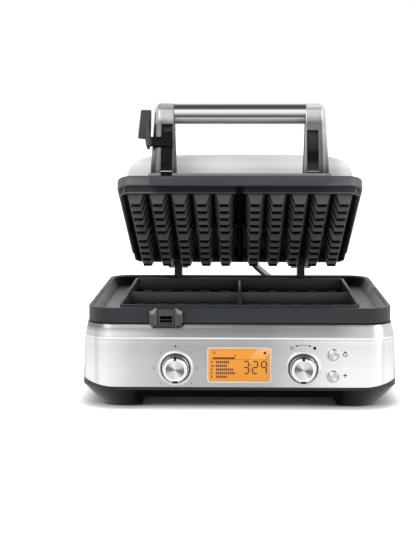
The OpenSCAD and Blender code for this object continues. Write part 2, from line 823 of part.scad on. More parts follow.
conduit_r = 5;
conduit_x = 54;
conduit_y = hinge_y - 2;
lid_gland_x = 12;
lid_gland_y = plate_shift + ring_d / 2;
lid_gland_z = ring_top_z - 7.8;

// Middle line of the armoured conduit from the lid's gland to the body's gland.
conduit_route = [
  lid_point([lid_gland_x, lid_gland_y + 10, lid_gland_z]),
  lid_point([lid_gland_x, lid_gland_y + 14, lid_gland_z]),
  lid_point([lid_gland_x + 1.5, lid_gland_y + 19, lid_gland_z - 0.5]),
  [lid_gland_x + 7, conduit_y - 24, housing_top + 46],
  [lid_gland_x + 14, conduit_y - 18, housing_top + 38],
  [lid_gland_x + 22, conduit_y - 12, housing_top + 30],
  [conduit_x - 12, conduit_y - 7, housing_top + 23],
  [conduit_x - 6, conduit_y - 3, housing_top + 16],
  [conduit_x - 2, conduit_y - 1, housing_top + 11],
  [conduit_x, conduit_y, housing_top + 6],
  [conduit_x, conduit_y, housing_top + 4]
];

function unit(v) = v / norm(v);

// A tube along a route, as one ring of points at each stop.
module tube_along(route, r, sides) {
  last = len(route) - 1;
  rings = [
    for (i = [0 : last])
      let (
        way = unit(route[min(i + 1, last)] - route[max(i - 1, 0)]),
        across = unit(cross(way, [1, 0, 0])),
        up = cross(across, way)
      )
      for (k = [0 : sides - 1]) route[i] + r * (cos(360 * k / sides) * across + sin(360 * k / sides) * up)
  ];
  polyhedron(rings, concat(
    [[for (k = [0 : sides - 1]) k]],
    [[for (k = [sides - 1 : -1 : 0]) last * sides + k]],
    [for (i = [0 : last - 1], k = [0 : sides - 1]) let (n = (k + 1) % sides)
      [i * sides + k, (i + 1) * sides + k, (i + 1) * sides + n, i * sides + n]]
  ));
}

module conduit() {
  color([0.75, 0.76, 0.78]) on_base() tube_along(conduit_route, conduit_r, 12);
}

module base_gland() {
  color([0.3, 0.31, 0.33]) on_base() translate([conduit_x, conduit_y, housing_top - 12]) difference() {
    union() {
      cylinder(d = 14, h = 12 + thin);
      translate([0, 0, 12]) cylinder(d = 20, h = 4 - clear, $fn = 6);
    }
    translate([0, 0, -cut]) cylinder(d = 7, h = 20);
  }
}

module lid_gland() {
  color([0.3, 0.31, 0.33]) on_lid() translate([lid_gland_x, lid_gland_y, lid_gland_z])
    rotate([-90, 0, 0]) difference() {
    union() {
      cylinder(d = 18, h = 6, $fn = 6);
      translate([0, 0, 6 - thin]) cylinder(d = 14, h = 4 - clear);
    }
    translate([0, 0, -cut]) cylinder(d = 7, h = 20);
  }
}

/* ---- Lid ---- */

plate_body = wall_out - 3;
plate_body_r = 12.7;
upper_cavity_r = 10;

module lid_ring() {
  flange_t = 3;
  opening = plate_body + 2 * clear;
  color([0.27, 0.29, 0.31]) on_lid() translate([0, plate_shift, ring_z]) difference() {
    slab(ring_w, ring_d, ring_h, ring_r);
    translate([0, 0, -cut]) slab(opening, opening, ring_h - flange_t + cut, plate_body_r + clear);
    slab(cover_w - 16, cover_d - 16, ring_h + cut, 22);
  }
}

// The cover's solid form, inset by t: [inset from the base's outline in X and Y, height, corner radius].
module cover_block(t) {
  step = cover_h - t;
  levels = [
    [0, 0, 0, 26], [6, 8, step * 0.45, 25], [18, 22, step * 0.8, 24], [44, 46, step, 24],
    [124, 60, step + 4.2, 24], [180, 150, step + cover_crown, 20]
  ];
  hull() for (v = levels)
    translate([0, 0, v[2]]) slab(cover_w - v[0] - 2 * t, cover_d - v[1] - 2 * t, thin, v[3] - t);
}

module lid_cover() {
  color([0.9, 0.9, 0.9]) on_lid() translate([0, plate_shift, ring_top_z]) difference() {
    cover_block(0);
    translate([0, 0, -thin]) cover_block(1.5);
  }
}

module upper_plate() {
  color([0.1, 0.11, 0.12]) on_lid() translate([0, plate_shift, 0]) {
    difference() {
      union() {
        translate([0, 0, parting_z]) slab(wall_out, wall_out, ring_z - clear - parting_z, plate_corner_r);
        translate([0, 0, ring_z - 1]) slab(plate_body, plate_body, plate_back_z - ring_z + 1, plate_body_r);
      }
      translate([0, 0, parting_z - cut]) slab(cavity, cavity, upper_recess + cut, upper_cavity_r);
    }
    translate([0, 0, upper_root_z]) mirror([0, 0, 1]) {
      intersection() {
        tooth_field(upper_tooth_h, 1);
        translate([0, 0, -1]) slab(cavity + lip_t, cavity + lip_t, 60, upper_cavity_r + 1);
      }
      ridge_cross(upper_recess - 4, 3, 7, cavity + 1);
    }
  }
}

module upper_element() {
  color([0.45, 0.46, 0.48]) on_lid() translate([0, plate_shift, plate_back_z + element_r + 0.2])
    element(6, element_len, element_pitch);
}

module upper_clamps() {
  color([0.7, 0.71, 0.72]) on_lid() translate([0, plate_shift, plate_back_z]) mirror([0, 0, 1])
    for (s = [-1, 1]) clamp_strap(s * element_len / 4);
}

module upper_shield() {
  color([0.78, 0.79, 0.8]) on_lid() translate([0, plate_shift, plate_back_z + shield_gap])
    mirror([0, 0, 1]) {
    slab(shield_side - 20, shield_side - 20, shield_t, 12);
    for (x = [-1, 1], y = [-1, 1])
      translate([x * (shield_post - 8), y * (shield_post - 8), shield_t - thin])
      cylinder(d = 7, h = shield_gap - shield_t + thin);
  }
}

module upper_thermostat() {
  color([0.75, 0.72, 0.65]) on_lid() translate([0, plate_shift, plate_back_z]) thermostat();
}

module lid_screws() {
  color([0.6, 0.61, 0.62]) on_lid() for (x = [-1, 1], s = [-1, 1])
    translate([x * hinge_x, plate_shift + ring_d / 2 + ear_foot_t, (ear_low_z + ring_top_z) / 2 + s * 2.9])
      rotate([-90, 0, 0]) cylinder(d = 5, h = 1.6);
}

/* ---- Handle ---- */

bridge_w = 2 * arm_x + arm_foot_w + 3;
ring_front = plate_shift - ring_d / 2;
bridge_back = arm_face_y + arm_d + 4;

module handle_bridge() {
  color([0.25, 0.27, 0.29]) on_lid() difference() {
    along_x(bridge_w) polygon([
      [arm_face_y - 1, bridge_z + 0.8], [arm_face_y, bridge_z], [bridge_back, bridge_z],
      [ring_front, ring_z + 0.4], [ring_front, ring_top_z - 1], [ring_front - 5, ring_top_z - 1],
      [bridge_back, bridge_top_z], [arm_face_y - 1, bridge_top_z]
    ]);
    translate([-slot_x - slot_w / 2, arm_face_y - cut, bridge_z - cut])
      cube([slot_w, slot_deep + cut, bridge_top_z - bridge_z + 2 * cut]);
  }
}

bevel_x = 99.5;
bevel_angle = 36;

// A tapered arm with a round head and a bevelled outer side, drawn for the right side.
module arm(slot_top) {
  foot_z = bridge_top_z;
  rise = arm_top_z - foot_z;
  difference() {
    intersection() {
      translate([arm_x, arm_face_y + arm_d, foot_z]) rotate([90, 0, 0]) linear_extrude(arm_d) polygon([
        [-arm_foot_w / 2, 0], [arm_foot_w / 2, 0], [arm_head_w / 2, rise], [-arm_head_w / 2, rise]
      ]);
      along_x(300) {
        translate([arm_face_y, foot_z]) square([arm_d, bar_z - foot_z]);
        translate([bar_y, bar_z]) circle(arm_d / 2 - 1);
        translate([arm_face_y, bar_z - 10]) square([1, 10]);
      }
    }
    translate([slot_x - slot_w / 2, arm_face_y - cut, foot_z - cut])
      cube([slot_w, slot_deep + cut, slot_top - foot_z + cut]);
    translate([0, bar_y, bar_z]) bar_x(arm_x - 40, arm_x - arm_head_w / 2 + 4, tube_d / 2 + run);
    translate([0, bar_y, bar_z]) bar_x(arm_x - 40, arm_x + 6, 3 + run);
    translate([bevel_x, arm_face_y, foot_z - cut]) rotate([0, 0, bevel_angle])
      translate([0, -30, 0]) cube([40, 30, rise + 20]);
  }
}

module handle_arm_left() {
  color([0.62, 0.64, 0.66]) on_lid() mirror([1, 0, 0]) arm(slot_top_z);
}

module handle_arm_right() {
  color([0.62, 0.64, 0.66]) on_lid() arm(slot_top_z - 8);
}

tube_half = arm_x - arm_head_w / 2 + 4 - run;

module handle_tube() {
  color([0.85, 0.86, 0.87]) on_lid() translate([0, bar_y, bar_z]) difference() {
    bar_x(-tube_half, tube_half, tube_d / 2);
    bar_x(-tube_half - cut, tube_half + cut, tube_d / 2 - 2);
  }
}

module handle_rod() {
  color([0.6, 0.61, 0.62]) on_lid() translate([0, bar_y, bar_z])
    bar_x(-arm_x - 6 + run, arm_x + 6 - run, 3);
}

module slot_lips() {
  color([0.88, 0.89, 0.9]) on_lid() for (s = [-1, 1])
    translate([s * slot_x - slot_w / 2 - 1.5, arm_face_y - 1, bridge_top_z]) cube([slot_w + 3, 1, 1.8]);
}

module slot_insert() {
  color([0.1, 0.1, 0.11]) on_lid() {
    translate([slot_x - slot_w / 2, arm_face_y + slot_deep - 3, bridge_top_z])
      cube([slot_w, 3, slot_top_z - 8 - bridge_top_z]);
    translate([-slot_x - slot_w / 2, arm_face_y + slot_deep - 1, bridge_top_z])
      cube([slot_w, 1, slot_top_z - bridge_top_z]);
  }
}

/* ---- Latch ---- */

module latch_slider() {
  w = slot_w - 2 * clear;
  color([0.12, 0.13, 0.14]) on_lid() translate([-slot_x, 0, 0]) {
    translate([-w / 2, tongue_y - 1.2, slider_z]) cube([w, tongue_t + 1.2, slider_h]);
    translate([-w / 2, tongue_y, bridge_top_z]) cube([w, tongue_t, slider_z - bridge_top_z + thin]);
    translate([-w / 2 + 0.8, tongue_y + 0.6, slider_z + slider_h - thin]) cube([w - 1.6, tongue_t - 1, 9]);
    translate([-w / 2 + 1, tongue_y + tongue_t - thin, bridge_top_z + 3]) cube([w - 2, 1.4, 4]);
    translate([-w / 2, arm_face_y - clear - wrap_t, slider_z + slider_h - wrap_h])
      cube([w, tongue_y - arm_face_y + clear + wrap_t, wrap_h]);
    translate([-tab_x + slot_x - 4, arm_face_y - clear - wrap_t, slider_z + slider_h - wrap_h])
      cube([tab_x - slot_x + 4, wrap_t, wrap_h]);
  }
}

module latch_tab() {
  z = slider_z + slider_h;
  y = arm_face_y - clear;
  color([0.2, 0.21, 0.23]) on_lid() translate([-tab_x, 0, 0]) {
    translate([-4, y, z - wrap_h]) cube([4, 9, wrap_h]);
    translate([0, y + 9, 0]) rotate([90, 0, 0]) linear_extrude(5) polygon([
      [-4, z - wrap_h + 2], [-5.5, z - 7], [-6.3, z], [-6, z + 9], [-4.6, z + 15], [-2, z + 18],
      [0.3, z + 15], [0.3, z + 2], [0, z], [0, z - wrap_h + 2]
    ]);
    translate([0, y + 13, 0]) rotate([90, 0, 0]) linear_extrude(4 + thin)
      polygon([[-15.6, z + 3.5], [-3, z + 2], [0.3, z + 6], [0.3, z + 39], [-0.6, z + 40], [-11.8,
        z + 40], [-12.6, z + 39]]);
  }
}

base_tray();
rubber_feet();
body_shell();
lower_plate();
latch_catch();
lower_element();
lower_clamps();
lower_shield();
lower_thermostat();
display_frame();
display_window();
display_module();
control_board();
menu_encoder();
browning_encoder();
dial_collars();
button_collars();
tact_switches();
power_board();
board_screws();
terminal_block();
cord_grommet();
base_screws();
hinge_housing();
hinge_posts();
hinge_pins();
hinge_washers();
conduit();
base_gland();
lid_gland();
lid_ring();
lid_cover();
upper_plate();
upper_element();
upper_clamps();
upper_shield();
upper_thermostat();
hinge_arms();
handle_bridge();
handle_arm_left();
handle_arm_right();
handle_tube();
handle_rod();
slot_lips();
slot_insert();
lid_screws();
latch_slider();
latch_tab();
menu_dial();
menu_pointer();
browning_dial();
browning_pointer();
restart_button();
more_button();
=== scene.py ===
"""Looks of the waffle maker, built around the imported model.

Materials, stage and camera are in metres in the model's own frame. Pieces are drawn in millimetres in the
moat's frame, with the lid shut; piece() brings them to the model's frame.
"""

import json
import math

import bmesh
import bpy
from mathutils import Matrix, Vector


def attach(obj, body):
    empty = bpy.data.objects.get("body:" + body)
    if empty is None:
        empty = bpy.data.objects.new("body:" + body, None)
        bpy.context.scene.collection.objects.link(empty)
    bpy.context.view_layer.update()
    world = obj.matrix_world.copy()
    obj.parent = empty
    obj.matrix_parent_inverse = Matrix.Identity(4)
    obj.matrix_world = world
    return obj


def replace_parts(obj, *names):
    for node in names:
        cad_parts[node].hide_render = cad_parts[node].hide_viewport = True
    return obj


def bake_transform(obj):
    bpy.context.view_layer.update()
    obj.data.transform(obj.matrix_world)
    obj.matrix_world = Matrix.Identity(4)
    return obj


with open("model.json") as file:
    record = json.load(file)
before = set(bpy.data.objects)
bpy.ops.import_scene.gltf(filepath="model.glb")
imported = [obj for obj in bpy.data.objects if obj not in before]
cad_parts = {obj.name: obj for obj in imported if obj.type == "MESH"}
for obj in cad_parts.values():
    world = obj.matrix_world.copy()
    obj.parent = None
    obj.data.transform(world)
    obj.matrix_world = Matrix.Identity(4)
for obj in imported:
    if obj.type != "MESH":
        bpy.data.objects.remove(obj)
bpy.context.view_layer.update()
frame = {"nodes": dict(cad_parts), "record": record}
NODES = frame["nodes"]

# ---------------------------------------------------------------- places that materials and pieces share

HINGE = Vector((0, 0.1939, 0.1473))
LID_ANGLE = math.radians(-22.43)
LID = Matrix.Translation(HINGE) @ Matrix.Rotation(LID_ANGLE, 4, "X") @ Matrix.Translation(-HINGE)
LID_BACK = Vector((0, math.cos(LID_ANGLE), math.sin(LID_ANGLE)))  # the open lid's own directions
LID_UP = Vector((0, -math.sin(LID_ANGLE), math.cos(LID_ANGLE)))
PLATE_Y = -0.0125  # the plates' middle

# On the panel, in millimetres.
DIAL_X, DIAL_Z = 78.0, 50.7
BUTTON_X, BUTTON_Z = 114.5, {"button_high": 68.0, "button_low": 41.4}
CATCH_X = 89.5

# ---------------------------------------------------------------- materials

# Two blacks: for black parts, and for painted shade in the coats below.
NEAR_BLACK, DEEP_BLACK = (0.008, 0.009, 0.01), (0.004, 0.0045, 0.005)
AHEAD = (0.0, -1.0, 0.0)  # towards the viewer


def grey(value, blue=1.0):
    return (value, value * (1 + 0.5 * (blue - 1)), value * blue)


def set_stops(ramp, stops):
    """Fills a colour ramp from (place, colour) stops, lowest place first."""
    elements = ramp.color_ramp.elements
    while len(elements) < len(stops):
        elements.new(0.5)
    for element, (place, colour) in zip(elements, stops):
        element.position = place
        element.color = (*colour, 1)


class Shader:
    """A Principled material and a small set of tools to add procedural detail to it."""

    def __init__(self, name, colour, rough, metal=0.0, edge=0.0008, **sockets):
        self.name = name
        self.mat = bpy.data.materials.new(name)
        self.mat.use_nodes = True
        self.tree = self.mat.node_tree
        self.bsdf = self.tree.nodes["Principled BSDF"]
        self.colour = colour
        self.rough = rough
        self.set("Base Color", (*colour, 1.0))
        self.set("Roughness", rough)
        self.set("Metallic", metal)
        for socket, value in sockets.items():
            self.set(socket.replace("_", " "), value)
        source = self.node("TexCoord")
        self.coords = source.outputs["Object"]
        self.facing = source.outputs["Normal"]
        self.normal = None
        if edge:
            bevel = self.node("Bevel")
            bevel.samples = 6
            bevel.inputs["Radius"].default_value = edge
            self.normal = bevel.outputs["Normal"]
            self.drive("Normal", self.normal)

    def node(self, kind):
        return self.tree.nodes.new("ShaderNode" + kind)

    def set(self, socket, value):
        self.bsdf.inputs[socket].default_value = value

    def link(self, a, b):
        self.tree.links.new(a, b)

    def drive(self, socket, value):
        self.link(value, self.bsdf.inputs[socket])

    def math(self, operation, a, b=0.0):
        node = self.node("Math")
        node.operation = operation
        for n, value in enumerate((a, b)):
            if isinstance(value, (int, float)):
                node.inputs[n].default_value = value
            else:
                self.link(value, node.inputs[n])
        return node.outputs[0]

    def product(self, first, *others):
        for other in others:
            first = self.math("MULTIPLY", first, other)
        return first

    def apart(self, value, middle=0.0):
        """Distance from a middle, always positive."""
        return self.math("ABSOLUTE", self.math("SUBTRACT", value, middle))

    def radius(self, a, b):
        return self.math("SQRT", self.math("ADD", self.product(a, a), self.product(b, b)))

    def axis(self, index, source=None):
        node = self.node("SeparateXYZ")
        self.link(source or self.coords, node.inputs[0])
        return node.outputs[index]

    def dot(self, source, vector):
        node = self.node("VectorMath")
        node.operation = "DOT_PRODUCT"
        self.link(source, node.inputs[0])
        node.inputs[1].default_value = vector
        return node.outputs["Value"]

    def towards(self, direction):
        """How far the surface faces a direction: 1 is straight at it."""
        return self.dot(self.facing, direction)

    def along(self, direction, start):
        """Distance in a direction from a point."""
        return self.math("SUBTRACT", self.dot(self.coords, direction), start.dot(direction))

    def ramp(self, fac, low, high, start=0.35, end=0.65):
        """From low, where fac is start, to high, where it is end."""
        node = self.node("MapRange")
        node.inputs["From Min"].default_value = start
        node.inputs["From Max"].default_value = end
        node.inputs["To Min"].default_value = low
        node.inputs["To Max"].default_value = high
        self.link(fac, node.inputs["Value"])
        return node.outputs["Result"]

    def rise(self, fac, start, end):
        return self.ramp(fac, 0.0, 1.0, start, end)

    def fall(self, fac, start, end):
        return self.ramp(fac, 1.0, 0.0, start, end)

    def gradient(self, fac, stops, multiply=False):
        """Base colour along a value: stops are (value, colour), lowest value first."""
        low, high = stops[0][0], stops[-1][0]
        node = self.node("ValToRGB")
        set_stops(node, [((value - low) / (high - low), colour) for value, colour in stops])
        self.link(self.rise(fac, low, high), node.inputs["Fac"])
        colour = node.outputs["Color"]
        if multiply:
            both = self.node("Mix")
            both.data_type = "RGBA"
            both.blend_type = "MULTIPLY"
            both.inputs[0].default_value = 1.0
            self.link(self.bsdf.inputs["Base Color"].links[0].from_socket, both.inputs[6])
            self.link(colour, both.inputs[7])
            colour = both.outputs[2]
        self.drive("Base Color", colour)

    def noise(self, scale, stretch=(1, 1, 1), detail=3.0):
        mapping = self.node("Mapping")
        mapping.inputs["Scale"].default_value = stretch
        self.link(self.coords, mapping.inputs["Vector"])
        tex = self.node("TexNoise")
        tex.inputs["Scale"].default_value = scale
        tex.inputs["Detail"].default_value = detail
        self.link(mapping.outputs["Vector"], tex.inputs["Vector"])
        return tex.outputs["Fac"]

    def tint(self, fac, other):
        """Mixes the colour so far with another one by fac."""
        mix = self.node("Mix")
        mix.data_type = "RGBA"
        socket = self.bsdf.inputs["Base Color"]
        mix.inputs[6].default_value = socket.default_value
        if socket.links:
            self.link(socket.links[0].from_socket, mix.inputs[6])
        mix.inputs[7].default_value = (*other, 1.0)
        self.link(fac, mix.inputs[0])
        self.link(mix.outputs[2], socket)

    def shade(self, fac, amount):
        self.tint(fac, [c * (1 - amount) for c in self.colour])

    def vary_rough(self, fac, spread):
        self.drive("Roughness", self.ramp(fac, self.rough - spread, self.rough + spread))

    def bump(self, fac, strength, distance):
        node = self.node("Bump")
        node.inputs["Strength"].default_value = strength
        node.inputs["Distance"].default_value = distance
        self.link(fac, node.inputs["Height"])
        if self.normal is not None:
            self.link(self.normal, node.inputs["Normal"])
        self.normal = node.outputs["Normal"]
        self.drive("Normal", self.normal)


def brushed(name, colour, rough, along=(3, 300, 300), depth=0.00004, **more):
    """Metal with fine brush lines along the axis whose stretch is small."""
    s = Shader(name, colour, rough, metal=1.0, **more)
    lines = s.noise(4.0, along, 4.0)
    s.shade(s.ramp(lines, 0.0, 1.0), 0.07)
    s.vary_rough(lines, 0.05)
    s.bump(lines, 0.25, depth)
    return s


def coated(name, colour, rough, depth=0.0001, **more):
    """A non-stick coat or moulded plastic with a fine grain and slightly uneven gloss."""
    s = Shader(name, colour, rough, **more)
    s.shade(s.ramp(s.noise(14.0), 0.0, 1.0), 0.16)
    s.vary_rough(s.noise(30.0), 0.06)
    s.bump(s.noise(900.0, detail=2.0), 0.3, depth)
    return s


def spun(name, colour, rough, x, z, phases, contrast, face):
    """Turned metal round a place on the panel: fine rings, a fan of painted light and dark reflections in
    sectors on its face, and painted shade on its sides.
    """
    s = Shader(name, colour, rough, metal=1.0, edge=0.0004, Anisotropic=0.6)
    right = s.math("SUBTRACT", s.axis(0), x / 1000)
    up = s.math("SUBTRACT", s.axis(2), z / 1000)
    radius, ring_pitch = s.radius(right, up), 0.0004
    s.bump(s.math("SINE", s.product(radius, 2 * math.pi / ring_pitch)), 0.12, 0.00003)
    # Painted reflections: a fan of light and dark sectors by angle round the middle.
    angle = s.math("ARCTAN2", up, right)
    wide, narrow = (
        s.math("COSINE", s.math("ADD", s.product(angle, count), phase)) for count, phase in zip((2, 4), phases)
    )
    fan = s.math("ADD", s.product(wide, 0.7), s.product(narrow, 0.3))
    s.shade(s.product(s.rise(fan, -0.9, 0.9), s.fall(radius, face, face + 0.0003)), contrast)
    # Painted shade on the barrel and the other faces turned away from ahead.
    s.tint(s.fall(s.towards(AHEAD), 0.2, 0.6), (0.02, 0.02, 0.022))
    return s


def make_steel():
    """Brushed steel with painted reflections: a bright panel, a painted highlight along the fold and painted
    shade on the shoulder above it.
    """
    s = Shader("steel", (0.8, 0.8, 0.8), 0.3, metal=1.0)
    x, z = s.axis(0), s.axis(2)
    # Painted reflections by height: a bright panel, a painted highlight at the fold, painted shade on the
    # shoulder.
    s.gradient(z, (
        (0.027, grey(1.0)), (0.045, grey(1.0)), (0.078, grey(0.86)), (0.0845, grey(0.95)), (0.0863, grey(1.0)),
        (0.0878, grey(1.0)), (0.0887, grey(0.62)), (0.092, grey(0.54, 1.05)), (0.098, grey(0.43, 1.05)),
        (0.1055, grey(0.38, 1.05)),
    ))
    # Painted reflections across the width: bright at both ends, darker in the middle.
    s.gradient(x, (
        (-0.195, grey(1.0)), (-0.165, grey(0.95)), (-0.13, grey(0.66)), (-0.08, grey(0.5)), (0.0, grey(0.47)),
        (0.035, grey(0.5)), (0.06, grey(0.64)), (0.1, grey(0.84)), (0.13, grey(0.96)), (0.195, grey(1.0)),
    ), True)
    shoulder = s.rise(z, 0.0872, 0.09)
    # Painted reflections on the shoulder: darker right of the middle, paler at both ends, darker at its upper
    # left.
    s.tint(s.product(shoulder, s.rise(x, 0.04, 0.09), s.fall(x, 0.13, 0.19), 0.42), grey(0.2))
    s.tint(s.product(shoulder, s.rise(x, 0.115, 0.185)), grey(0.74))
    s.tint(s.product(shoulder, s.fall(x, -0.17, -0.09)), grey(0.66))
    s.tint(s.product(s.rise(z, 0.094, 0.1), s.fall(x, -0.1, -0.06)), grey(0.24))
    fold_line, crease, corner_line = s.apart(z, 0.0874), s.apart(z, 0.0852), s.apart(s.apart(x), 0.1755)
    # A painted highlight along the fold, a painted dark reflection just below it and painted dark bands at the
    # corners.
    s.tint(s.ramp(fold_line, 0.9, 0.0, 0.0006, 0.0012), grey(1.0))
    s.tint(s.ramp(crease, 0.3, 0.0, 0.0003, 0.0009), grey(0.15))
    s.tint(s.ramp(corner_line, 0.25, 0.0, 0.001, 0.004), grey(0.25))
    # Painted shade along the two side edges.
    s.tint(s.ramp(s.apart(x), 0.0, 0.75, 0.189, 0.1945), grey(0.25))
    # Painted shade, nearly black, on the top hem under the moat's band.
    s.tint(s.rise(z, 0.1036, 0.1041), grey(0.012))
    lines = s.noise(4.0, (3, 300, 300), 4.0)
    s.tint(s.ramp(lines, 0.0, 0.07), grey(0.3))
    s.vary_rough(lines, 0.04)
    s.bump(lines, 0.2, 0.00003)
    return s


def make_cover_steel():
    """Finely brushed steel with painted light: darker low down, paler towards the top."""
    s = Shader("cover_steel", (0.9, 0.9, 0.9), 0.42, metal=0.12)
    # Painted light by height: painted shade low on the cover, paler towards the top.
    s.gradient(s.axis(2), (
        (0.255, grey(0.58)), (0.274, grey(0.68)), (0.282, grey(0.75)), (0.289, grey(0.8)), (0.296, grey(1.0)),
    ))
    grain = s.noise(4.0, (3, 300, 300), 4.0)
    s.tint(s.ramp(grain, 0.0, 0.06), grey(0.3))
    s.bump(grain, 0.15, 0.00002)
    return s


def make_tube_metal():
    """Polished tube: its mirrored bands follow the direction it faces, from below (-1) to above (1)."""
    s = Shader("tube_metal", (0.92, 0.92, 0.92), 0.09, metal=1.0, edge=0)
    up = s.axis(2, s.facing)
    s.gradient(up, (
        (-1.0, grey(0.1)), (-0.9, grey(0.15)), (-0.79, grey(0.24)), (-0.68, grey(0.55)), (-0.58, grey(0.5)),
        (-0.47, grey(0.64)), (-0.36, grey(0.28)), (-0.25, grey(0.06)), (-0.15, grey(0.12)), (-0.05, grey(0.43)),
        (0.06, grey(0.65)), (0.17, grey(0.95)), (0.4, grey(0.95)), (0.55, grey(0.8)), (0.62, grey(0.36)),
        (0.74, grey(0.34)), (0.8, grey(0.85)), (0.9, grey(0.55)), (1.0, grey(0.5)),
    ))
    s.drive("Metallic", s.ramp(up, 0.1, 1.0, -0.5, -0.3))
    s.vary_rough(s.noise(30.0), 0.02)
    return s


def make_conduit_metal():
    """Armour: dark on the side away from the light, white on the side towards it."""
    s = brushed("conduit_metal", (0.86, 0.87, 0.88), 0.3, along=(200, 200, 200), edge=0)
    s.set("Metallic", 0.35)
    lit = s.towards((0.6, -0.5, 0.62))
    s.tint(s.fall(lit, 0.0, 0.35), (0.06, 0.062, 0.066))
    s.tint(s.rise(lit, 0.3, 0.6), grey(1.0))
    return s


def make_arm_metal():
    """Satin metal with painted light: painted shade at the foot and a painted highlight at the head; painted
    shade on the inner faces and the left arm, a painted highlight on the outer sides.
    """
    s = Shader("arm_metal", (0.5, 0.5, 0.51), 0.34, metal=1.0, edge=0.0009)
    x, z, up = s.axis(0), s.axis(2), s.axis(2, s.facing)
    # Painted light by height: dark at the foot, bright at the head.
    s.gradient(z, (
        (0.285, grey(0.04, 1.05)), (0.2895, grey(0.05, 1.05)), (0.2945, grey(0.09, 1.05)),
        (0.2995, grey(0.125, 1.05)), (0.3195, grey(0.155, 1.05)), (0.3395, grey(0.205, 1.05)),
        (0.3495, grey(0.19, 1.03)), (0.3545, grey(0.44, 1.02)), (0.3595, grey(0.68, 1.02)),
        (0.3645, grey(0.8, 1.02)),
    ))
    side = s.ramp(x, -1.0, 1.0, -0.001, 0.001)
    out = s.product(side, s.axis(0, s.facing))
    left = s.fall(side, -1.0, 1.0)
    # Painted shade on the left arm: more on its shaft than on its head.
    shaft = s.product(s.ramp(z, 0.64, 0.0, 0.35, 0.36), s.ramp(x, 1.0, 0.2, -0.104, -0.086))
    head = s.ramp(z, 0.0, 0.45, 0.35, 0.36)
    s.tint(s.product(left, s.math("MAXIMUM", shaft, head)), grey(0.04))
    # Painted shade on the faces turned inwards.
    s.tint(s.ramp(out, 0.68, 0.0, -0.5, -0.12), grey(0.03))
    inner = s.ramp(out, 0.2, 1.0, -0.5, -0.2)
    s.drive("Metallic", s.product(inner, s.ramp(up, 1.0, 0.1, 0.45, 0.75)))
    s.drive("Specular IOR Level", s.product(inner, 0.5))
    # Painted shade over the left arm's highlight, on faces turned a little outwards.
    s.tint(s.product(s.rise(out, 0.08, 0.25), s.fall(out, 0.3, 0.5), left, 0.35), grey(0.03))
    # A painted highlight on the outer sides, growing towards the head.
    s.tint(s.product(s.ramp(z, 0.0, 0.8, 0.295, 0.34), s.rise(out, 0.3, 0.75)), (0.72, 0.73, 0.74))
    s.vary_rough(s.noise(30.0), 0.04)
    s.bump(s.noise(700.0, detail=2.0), 0.2, 0.00003)
    return s


def make_tray_plastic():
    """Black plastic: a painted sheen makes it greyer where it faces sideways; painted shade makes it dull and
    dead black in the arch between the feet.
    """
    s = coated("tray", (0.03, 0.033, 0.036), 0.35, edge=0.002, Specular_IOR_Level=0.2)
    # Painted sheen on faces turned sideways.
    s.tint(s.rise(s.apart(s.axis(0, s.facing)), 0.1, 0.5), (0.05, 0.054, 0.058))
    # Painted shade under the arch between the feet.
    arch = s.product(s.fall(s.axis(2), 0.0222, 0.0234), s.fall(s.apart(s.axis(0)), 0.125, 0.165))
    s.tint(arch, (0.001, 0.001, 0.0012))
    s.drive("Specular IOR Level", s.ramp(arch, 0.2, 0.02, 0.0, 1.0))
    return s


def make_latch_plastic():
    """Grey plastic of the latch's hook, blacker on the plate that reaches over the arm, where faces turned up
    keep the grey as a painted highlight.
    """
    s = coated("latch_grey", (0.028, 0.031, 0.034), 0.4)
    # The plate's black leaves out faces turned up: a painted highlight on its top edge.
    plate = s.product(s.rise(s.axis(0), -0.113, -0.107), s.fall(s.axis(2, s.facing), 0.55, 0.75))
    s.tint(plate, DEEP_BLACK)
    s.drive("Specular IOR Level", s.ramp(plate, 0.5, 0.08, 0.0, 1.0))
    return s


def make_plate_coat():
    """The upper plate's coat: painted shade, dark on its wall and nearly black on the teeth's tips and other
    faces turned down; nearly black in the cross.
    """
    s = coated("plate_coat", (0.085, 0.093, 0.1), 0.4, depth=0.00008, edge=0.0007)
    # Painted shade, nearly black, on faces turned down, such as the teeth's tips and the roots between them.
    s.tint(s.rise(s.towards(-LID_UP), 0.8, 0.95), NEAR_BLACK)
    behind = s.apart(s.along(LID_BACK, HINGE), PLATE_Y - HINGE.y)
    aside = s.apart(s.axis(0))
    height = s.math("ADD", s.along(LID_UP, HINGE), HINGE.z)
    wall = s.product(s.rise(s.math("MAXIMUM", behind, aside), 0.1468, 0.1474), s.rise(height, 0.1243, 0.125))
    cross = s.fall(s.math("MINIMUM", behind, aside), 0.0045, 0.0055)
    # Painted shade on the plate's wall.
    s.tint(wall, (0.032, 0.035, 0.039))
    s.tint(cross, NEAR_BLACK)
    s.drive("Specular IOR Level", s.ramp(s.math("MAXIMUM", wall, cross), 0.5, 0.05, 0.0, 1.0))
    return s


